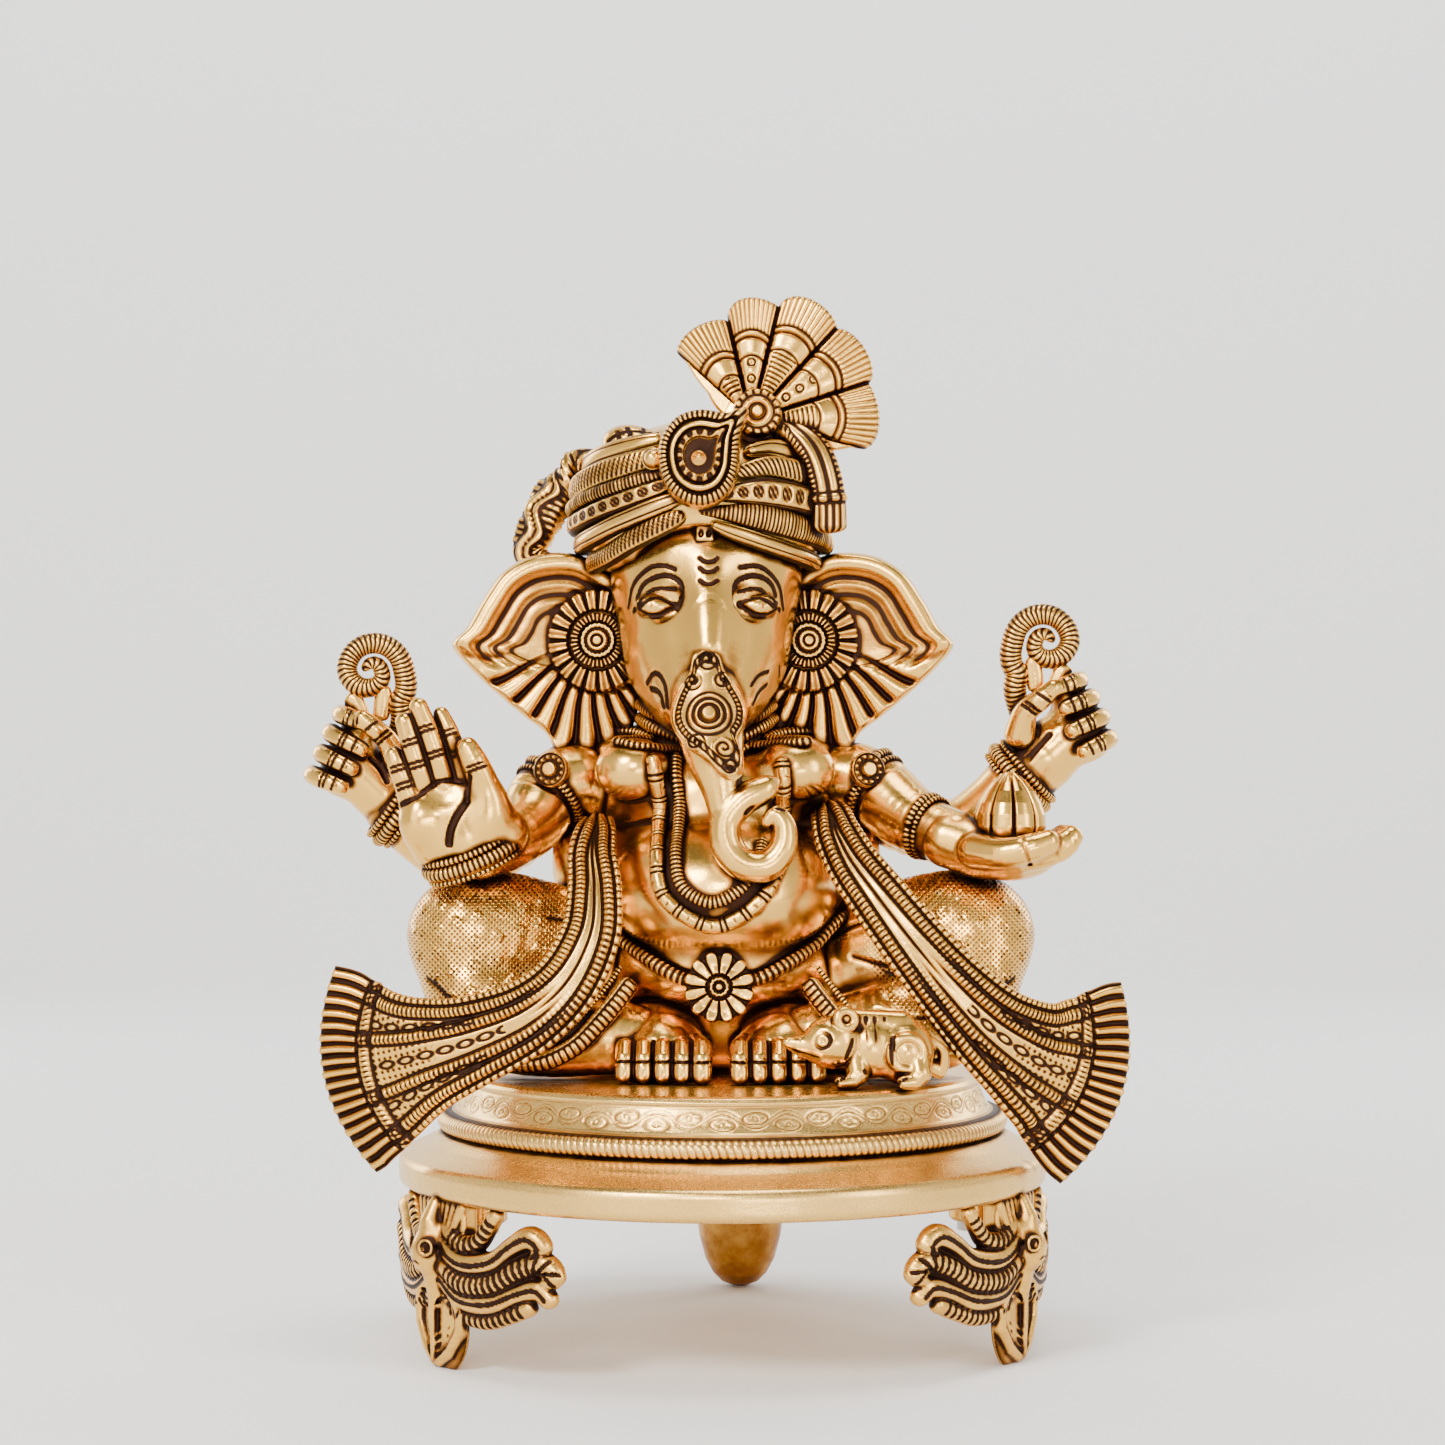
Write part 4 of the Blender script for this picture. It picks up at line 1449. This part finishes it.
def make_hands():
    palm = Sculpt()
    palm.add(egg((-79.6, -27, 78), (15.6, 7.6, 12)))
    palm.add(rod([(-86, -25, 68.6, 6.6), (-76, -25.4, 69.6, 8.2), (-66, -23.5, 73, 8)]), 5)
    palm.add(egg((-69.6, -28.5, 79.5), (6.2, 6.6, 9.6)), 3)
    palm.add(egg((-90, -28.5, 77), (6, 6.6, 8.6)), 3)
    palm.cut(egg((-82.4, -36, 85.6), (5.4, 3.6, 4.6)), 3)
    fingers = [[(-92.2, -28.5, 80, 3.6), (-94.2, -30, 87, 3.1), (-96.2, -31, 92.6, 3.0),
                (-97.6, -31, 96.4, 2.7)],
               [(-87.6, -28, 84, 3.6), (-90.0, -30.8, 92, 3.15), (-92.4, -31.8, 100, 3.05),
                (-94.2, -32.2, 106.2, 2.8)],
               [(-82.2, -28, 86, 3.5), (-84.4, -31, 95, 3.05), (-87.2, -32, 103.6, 3.0),
                (-90.0, -32.4, 110.6, 2.8)],
               [(-76.4, -27, 88, 3.4), (-78.6, -29, 96, 3.0), (-81.2, -29.4, 103.4, 2.8),
                (-83.6, -29.2, 108.4, 2.4)],
               [(-68.4, -28, 79, 5.2), (-70.4, -31, 87, 4.5), (-73.0, -33, 93.6, 4.1),
                (-75.4, -33.5, 98.4, 3.3)]]
    for k, line in enumerate(fingers):
        palm.add(rod(spline(line, 2)), 0.7 if k < 4 else 2.4)
        creased(palm, line, (0.4, 0.7) if k < 4 else (0.66,))
    for line, width in (([(-75.8, 82.4), (-78.6, 78), (-80.4, 73.6), (-80.8, 70)], 1.15),
                        ([(-95.4, 81.6), (-90.4, 84), (-85.6, 87.6)], 0.75),
                        ([(-84.8, 88.2), (-81.4, 88.8), (-78, 88.4)], 0.7),
                        ([(-74.6, 90), (-75.4, 86), (-75.6, 82.6)], 0.8)):
        fine = drawn(line)
        palm.groove(palm.front(fine, 0.1), width, 0.5)
    make("right_front_hand", [mesh_field(palm)])

    cup = Sculpt()
    cup.add(rod([(68, -18, 71, 8.6), (76, -20.5, 68.6, 8.8)]))
    cup.add(egg((86, -23.5, 66.6), (14, 13, 7.8)), 4)
    for k in range(4):
        y = -33 + 6.6 * k
        line = [(88, y, 66.4, 4.9), (94.6, y - 0.6, 67.6, 4.8), (100.2, y - 0.6, 69.6, 4.4),
                (103, y - 0.2, 72, 3.6)]
        cup.add(rod(spline(line, 2)), 0.8)
        cup.cut(hoop((98, y - 0.6, 68.6), (1, 0, 0.35), 5.0, 0.45), 0.5)
    thumb = [(75, -30, 68, 5.2), (82.6, -36, 67.2, 4.7), (90, -38.4, 68.8, 4.3), (95.6, -38.4, 70.8, 3.6)]
    cup.add(rod(spline(thumb, 2)), 1.6)
    cup.cut(hoop((89, -38, 68.6), (1, -0.1, 0.3), 4.7, 0.45), 0.5)
    make("left_front_hand", [mesh_field(cup)])

    def sweet(theta, s, r, z):
        wave = np.abs(np.sin(theta * 4.5 + 0.7))
        groove = smoothstep(0.36, 0.06, wave) * smoothstep(71, 74, z) * smoothstep(90.6, 87.6, z)
        return -1.7 * groove + 0.3 * np.abs(wave), groove
    make("modak", [lathe([(0, 69), (7.2, 69.4), (9.6, 71.6), (10.6, 75), (10.4, 78.6), (9.2, 82.2),
                          (7.2, 85.6), (5, 88.2), (2.8, 90), (1.2, 91), (0, 91.3)], 240, sweet, 0.4,
                         (86, -23))])

    for name, (masses, fingers, thumb, fold) in FISTS.items():
        hand = Sculpt()
        for mass in masses:
            hand.add(rod(mass), 4)
        for outer, inner in fingers:
            a, b = arr([outer[0], 0, outer[1]]), arr([inner[0], 0, inner[1]])
            line = [(*(a + (b - a) * t + [0, y, 0]), r)
                    for t, y, r in ((-0.05, 3, 2.8), (0, -4.6, 3.0), (0.4, -9.8, 2.95), (1, -12.4, 2.5))]
            hand.add(rod(spline(line, 1.5)), 0.4)
            creased(hand, line[1:], (0.45, 0.8), 0.32)
        hand.add(rod(spline(thumb, 1.5)), 1.2)
        creased(hand, thumb, (0.45, 0.78), 0.4)
        hand.groove(hand.front(fold, 0.1), 0.9, 0.8)
        make(name, [mesh_field(hand)])

    for name, eye, side in (("right_noose", (-107.1, -5, 122.2), -1), ("left_noose", (98.5, -5, 131), 1)):
        t = np.arange(0, 596, 14)
        r = np.interp(t, [0, 90, 180, 270, 360, 450, 540, 590], [1.0, 2.2, 2.9, 4.9, 7.6, 8.5, 9.7, 13.2])
        ring = np.stack([side * r * np.cos(np.radians(180 - t)) * -1, 0 * t, r * np.sin(np.radians(t))], 1)
        coil = arr(eye) + ring
        last = coil[-1]
        coil = np.vstack([coil]
                         + [last + [side * a, b, -c] for a, b,
                            c in ((-0.4, 0.4, 5), (1.2, 1.4, 11), (3.6, 2, 17))])
        thick = np.interp(np.arange(len(coil)), [0, len(t) * 0.3, len(t) * 0.5, len(t) * 0.75, len(t)],
                          [2.2, 2.6, 3.2, 3.3, 3.6])
        rope = loft(np.column_stack([coil, thick, thick]), (0, 1, 0), ribs(1.35, 0.28, 0.2, 1.1), 24,
                    step=0.3, cap=1.2)
        stays = [loft([(eye[0] + side * a, -5, eye[2] + b, w, 1.6) for a, b, w in line], None, None, 14,
                      step=0.5)
                 for line in ([(6.4, -6.5, 2.2), (5, -10.5, 3.2), (2.2, -16.5, 2.6)],
                              [(-4, -4, 1.8), (-3.4, -8.6, 2.8), (-2.6, -15.5, 2.4)])]
        make(name, [rope] + stays)


# ---- Stoles and mouse ----

STOLE_HALF = [4.6, 6, 7.2, 8, 8.8, 9.8, 11.2, 13.5, 17.0, 21.5, 25.5, 29, 31]
RIGHT_STOLE = [(-38, -8, 76), (-38, -20, 73.6), (-38.6, -30, 67), (-37.6, -38, 57), (-38.5, -44.5, 44),
               (-45.5, -47.5, 30), (-57, -48, 20), (-73, -47, 13), (-88, -44, 8.5), (-99, -40, 5.5),
               (-106.5, -37.5, 4), (-112.6, -35.5, 3), (-117.6, -34, 2)]
LEFT_STOLE = [(32, -8, 80), (32.6, -19, 78), (34.4, -28, 72), (38.6, -34.5, 64), (46, -41.5, 54),
              (56, -45, 41), (67, -45, 28), (79, -44, 16), (92, -41, 7), (101.6, -38, 2.6),
              (108, -36.5, 0.2), (113.4, -35.2, -1.6), (118, -34, -3)]


def make_stoles():
    def cloth(s, a, b, length):
        """Ropes, engraved lines, leaf marks, a cross bar and a fringe."""
        face = smoothstep(0.1, 0.4, np.abs(b))
        rest = length - s
        half = np.interp(s, gone, path[:, 3])
        wide = smoothstep(40, 32, rest)
        fringe = smoothstep(12.2, 11.6, rest)
        plain = 1 - fringe
        x = np.abs(a)
        d = half * (1 - x)
        inner = np.abs(x * half - np.maximum(0.36 * half, 2.6))
        open_end = smoothstep(9.5, 11.5, half)
        rope = bump(d - 4.0, 1.35) + bump(inner, 1.25) * open_end
        on_rope = np.clip(bump(d - 4.0, 1.5) + bump(inner, 1.35) * open_end, 0, 1)
        hatch = bump(nearest(s, 1.6), 0.36) * on_rope * plain
        ticks = bump(nearest(s, 2.3), 0.42) * bump(d - 0.8, 1.0) * plain
        lines = (bump(d - 2.1, 0.42) + bump(d - 5.9, 0.45)
                 + (bump(inner - 1.9, 0.42) * open_end + bump(a * half, 0.4) * (1 - open_end)))
        lines = lines * plain
        row, leaf = 0.5 * (0.36 * half + half - 6), 6.2
        leaf_a = np.hypot(nearest(s, leaf) / 2.2, x * half - row)
        leaf_b = np.hypot(nearest(s + leaf / 2, leaf) / 2.2, a * half)
        marks = ((bump(leaf_a - 1, 0.32) * (half > 13) + bump(leaf_b - 1, 0.32) * (half > 12)) * plain
                 * (rest > 17))
        dots = 0.75 * bump(np.hypot(nearest(s, 1.9), nearest(a * half, 1.9)), 0.55)
        dots = (dots * wide * plain * smoothstep(6.2, 6.8, d) * (inner > 2.2) * (leaf_a > 1.4)
                * (leaf_b > 1.4) * (rest > 17))
        bar = bump(rest - 14.4, 1.3)
        bar_cut = (bump(rest - 16.6, 0.5) + bump(rest - 12.2, 0.5)
                   + bar * bump(comb(a * half / 1.5), 0.4) * 0.9)
        strand = comb(a * 8.5)
        strands = fringe * smoothstep(0.5, 0.32, strand)
        cut = np.clip(lines + 0.85 * hatch + 0.7 * ticks + marks + dots + bar_cut + strands, 0, 1) * face
        push = ((1.1 * rope * plain + 0.5 * bump(d - 0.8, 0.9) * plain + 0.8 * bar
                 + 0.5 * fringe * smoothstep(0.5, 0.8, strand)) * face)
        push = (push - 0.75 * np.clip(lines + bar_cut, 0, 1) * face
                - (0.55 * hatch + 0.45 * ticks + 0.4 * marks + 0.3 * dots) * face)
        return push - 1.5 * strands * face, cut

    def bow(s, a, length):
        return -10.5 * smoothstep(length - 50, length, s) * a ** 2
    for name, points in (("right_stole", RIGHT_STOLE), ("left_stole", LEFT_STOLE)):
        rows = [(*p, h, 2.0) for p, h in zip(points, STOLE_HALF)]
        path = spline(rows, 0.42)
        gone = np.concatenate([[0], np.cumsum(np.linalg.norm(np.diff(path[:, :3], axis=0), axis=1))])
        make(name, [loft(rows, None, cloth, 230, 3.6, 0.42, 0.9, bow)])


def make_mouse():
    m = Sculpt()
    m.add(egg((52, -50, 10.6), (9.6, 7.6, 9.6)))
    m.add(egg((43, -51, 11.4), (8.0, 7.0, 8.8)), 1.5)
    m.add(egg((31.4, -54, 13.4), (8.4, 6.4, 7.6)), 1.2)
    m.add(rod([(28, -54.6, 12.4, 5.2), (22.4, -55, 12.6, 3.0), (18.8, -55.2, 13.4, 1.7)]), 1.2)
    m.add(rod([(38, -52, 19.6, 3.4), (52, -50.6, 18.6, 3.6)]), 1)
    for x in (41.2, 43.8, 46.6):
        m.groove([(x - 0.4, -58.6, 5), (x + 0.4, -59.2, 10), (x + 0.2, -57.4, 16), (x, -54.6, 20.4)], 0.5,
                 0.3)
    m.add(hoop((53, -56.4, 10.4), (0.1, -1, 0), 4.6, 1.6), 0.5)
    m.add(egg((53, -55, 10.4), (3.6, 3, 4)), 0.5)
    for x, top in ((38.6, 9), (56.4, 8)):
        m.add(rod([(x, -54, top, 3.6), (x + 0.4, -56, 4.6, 3.3), (x - 1.4, -57.2, 2.4, 2.5),
                   (x - 4.4, -58, 2.1, 2.1)]), 0.4)
        for k in range(3):
            m.groove([(x - 7.2, -60.2 + 1.4 * k, 1.4), (x - 3.8, -60.8 + 1.4 * k, 3.4)], 0.36, 0.2)
    m.groove([(34.6, -58.4, 4), (35.6, -58.8, 9), (37.6, -58.8, 14.5)], 0.7, 0.4)
    m.groove([(48.8, -58.4, 3), (48.4, -58.8, 9), (49, -57, 15)], 0.7, 0.4)
    for dy in (0, 4.8):
        m.add(hoop((35.4, -57.6 + dy, 20.2), (0.2, -1, 0.15), 2.5, 1.35), 0.3)
        m.add(egg((35.4, -56.8 + dy, 20.2), (2.4, 0.7, 2.4)), 0.3)
    m.cut(hoop((28.6, -59.8, 14.4), (-0.15, -1, 0.1), 2.3, 0.5), 0.2)
    m.cut(egg((28.6, -60.4, 14.4), (0.9, 0.9, 0.9)), 0.2)
    m.groove([(18, -56.8, 12), (22.4, -57.8, 10.6), (27.4, -59.4, 9.2)], 0.5, 0.3)
    m.add(rod(spline([(59, -48, 7, 2.8), (63, -47.4, 4.4, 2.2), (64, -49, 10, 1.7), (61, -51, 13.4, 1.2)],
                     1.5)), 1)
    m.floor()
    make("mouse", [mesh_field(m)])


# ---- Everything ----

for build in (make_stool, make_body, make_necklace, make_legs, make_arms, make_head, make_ears, make_turban,
              make_plume, make_hands, make_stoles, make_mouse):
    build()
shade_contacts()
for entry in PIECES:
    build_piece(*entry)
steel = steel_finish()
for name in ("leg_screws", "figure_bolts"):
    NODES[name].data.materials.clear()
    NODES[name].data.materials.append(steel)


# ---- Studio ----

FLOOR_RADIUS, BEND, WALL_TOP = 1.6, 0.8, 3.4


def backdrop():
    """A round sweep of pale card: floor, a curve, and a wall all round."""
    bend = [(FLOOR_RADIUS + BEND * math.sin(a), BEND - BEND * math.cos(a))
            for a in np.linspace(0.1, 1.57, 14)]
    line, turns = [(FLOOR_RADIUS, 0.0)] + bend + [(FLOOR_RADIUS + BEND, WALL_TOP)], 96
    verts = [(r * math.cos(t), r * math.sin(t), z) for r, z in line
             for t in np.linspace(0, TURN, turns, endpoint=False)]
    faces = [(a + i, a + turns + i, a + turns + (i + 1) % turns, a + (i + 1) % turns)
             for a in range(0, turns * (len(line) - 1), turns) for i in range(turns)]
    faces.append(tuple(range(turns)))
    mesh = bpy.data.meshes.new("backdrop")
    mesh.from_pydata(verts, [], faces)
    for face in mesh.polygons:
        face.use_smooth = len(face.vertices) == 4
    mat = bpy.data.materials.new("card")
    mat.use_nodes = True
    mat.node_tree.nodes["Principled BSDF"].inputs["Base Color"].default_value = (0.86, 0.855, 0.845, 1)
    mat.node_tree.nodes["Principled BSDF"].inputs["Roughness"].default_value = 0.75
    mesh.materials.append(mat)
    card = bpy.data.objects.new("backdrop", mesh)
    bpy.context.scene.collection.objects.link(card)


def lamp(name, place, target, size, power, colour=(1, 1, 1)):
    data = bpy.data.lights.new(name, "AREA")
    data.shape, data.size, data.size_y = "RECTANGLE", size[0], size[1]
    data.energy, data.color = power, colour
    light = bpy.data.objects.new(name, data)
    light.location = place
    light.rotation_euler = (Vector(target) - Vector(place)).to_track_quat("-Z", "Y").to_euler()
    bpy.context.scene.collection.objects.link(light)


SOFT = (1.0, 0.98, 0.95)
backdrop()
lamp("key", (-0.62, -1.0, 1.0), (0, 0, 0.18), (0.4, 0.4), 19, (1.0, 0.97, 0.92))
lamp("fill", (1.15, -0.9, 0.5), (0, 0, 0.16), (0.35, 0.9), 8, (1.0, 0.97, 0.93))
lamp("front", (-0.12, -1.5, 0.62), (0, 0, 0.2), (0.34, 0.26), 8, SOFT)
lamp("panel_left", (-0.85, -1.45, 0.5), (0, 0, 0.17), (1.0, 1.0), 8, SOFT)
lamp("panel_right", (0.9, -1.4, 0.3), (0, 0, 0.17), (0.6, 0.9), 2.5, SOFT)
lamp("low", (0.35, -1.5, 0.06), (0, 0, 0.1), (0.5, 0.12), 4, SOFT)
lamp("top", (0.1, -0.1, 1.4), (0, 0, 0.15), (0.6, 0.5), 10)
lamp("back_left", (-1.0, 0.9, 0.6), (0, 0, 0.15), (0.4, 0.9), 7)
lamp("back_right", (1.0, 0.9, 0.7), (0, 0, 0.15), (0.4, 0.9), 7)
lamp("wall", (0, 1.0, 1.9), (0, 2.2, 0.9), (2.4, 0.5), 42)
world = bpy.data.worlds.new("studio")
world.use_nodes = True
world.node_tree.nodes["Background"].inputs["Color"].default_value = (0.62, 0.62, 0.62, 1)
world.node_tree.nodes["Background"].inputs["Strength"].default_value = 0.3
bpy.context.scene.world = world

EYE, TILT = (0, -0.9, 0.169), 1.12
camera = bpy.data.objects.new("camera", bpy.data.cameras.new("camera"))
camera.data.lens, camera.data.sensor_width = 73.0, 36.0
camera.location = EYE
camera.rotation_euler = (math.radians(90 + TILT), 0, 0)
bpy.context.scene.collection.objects.link(camera)
bpy.context.scene.camera = camera
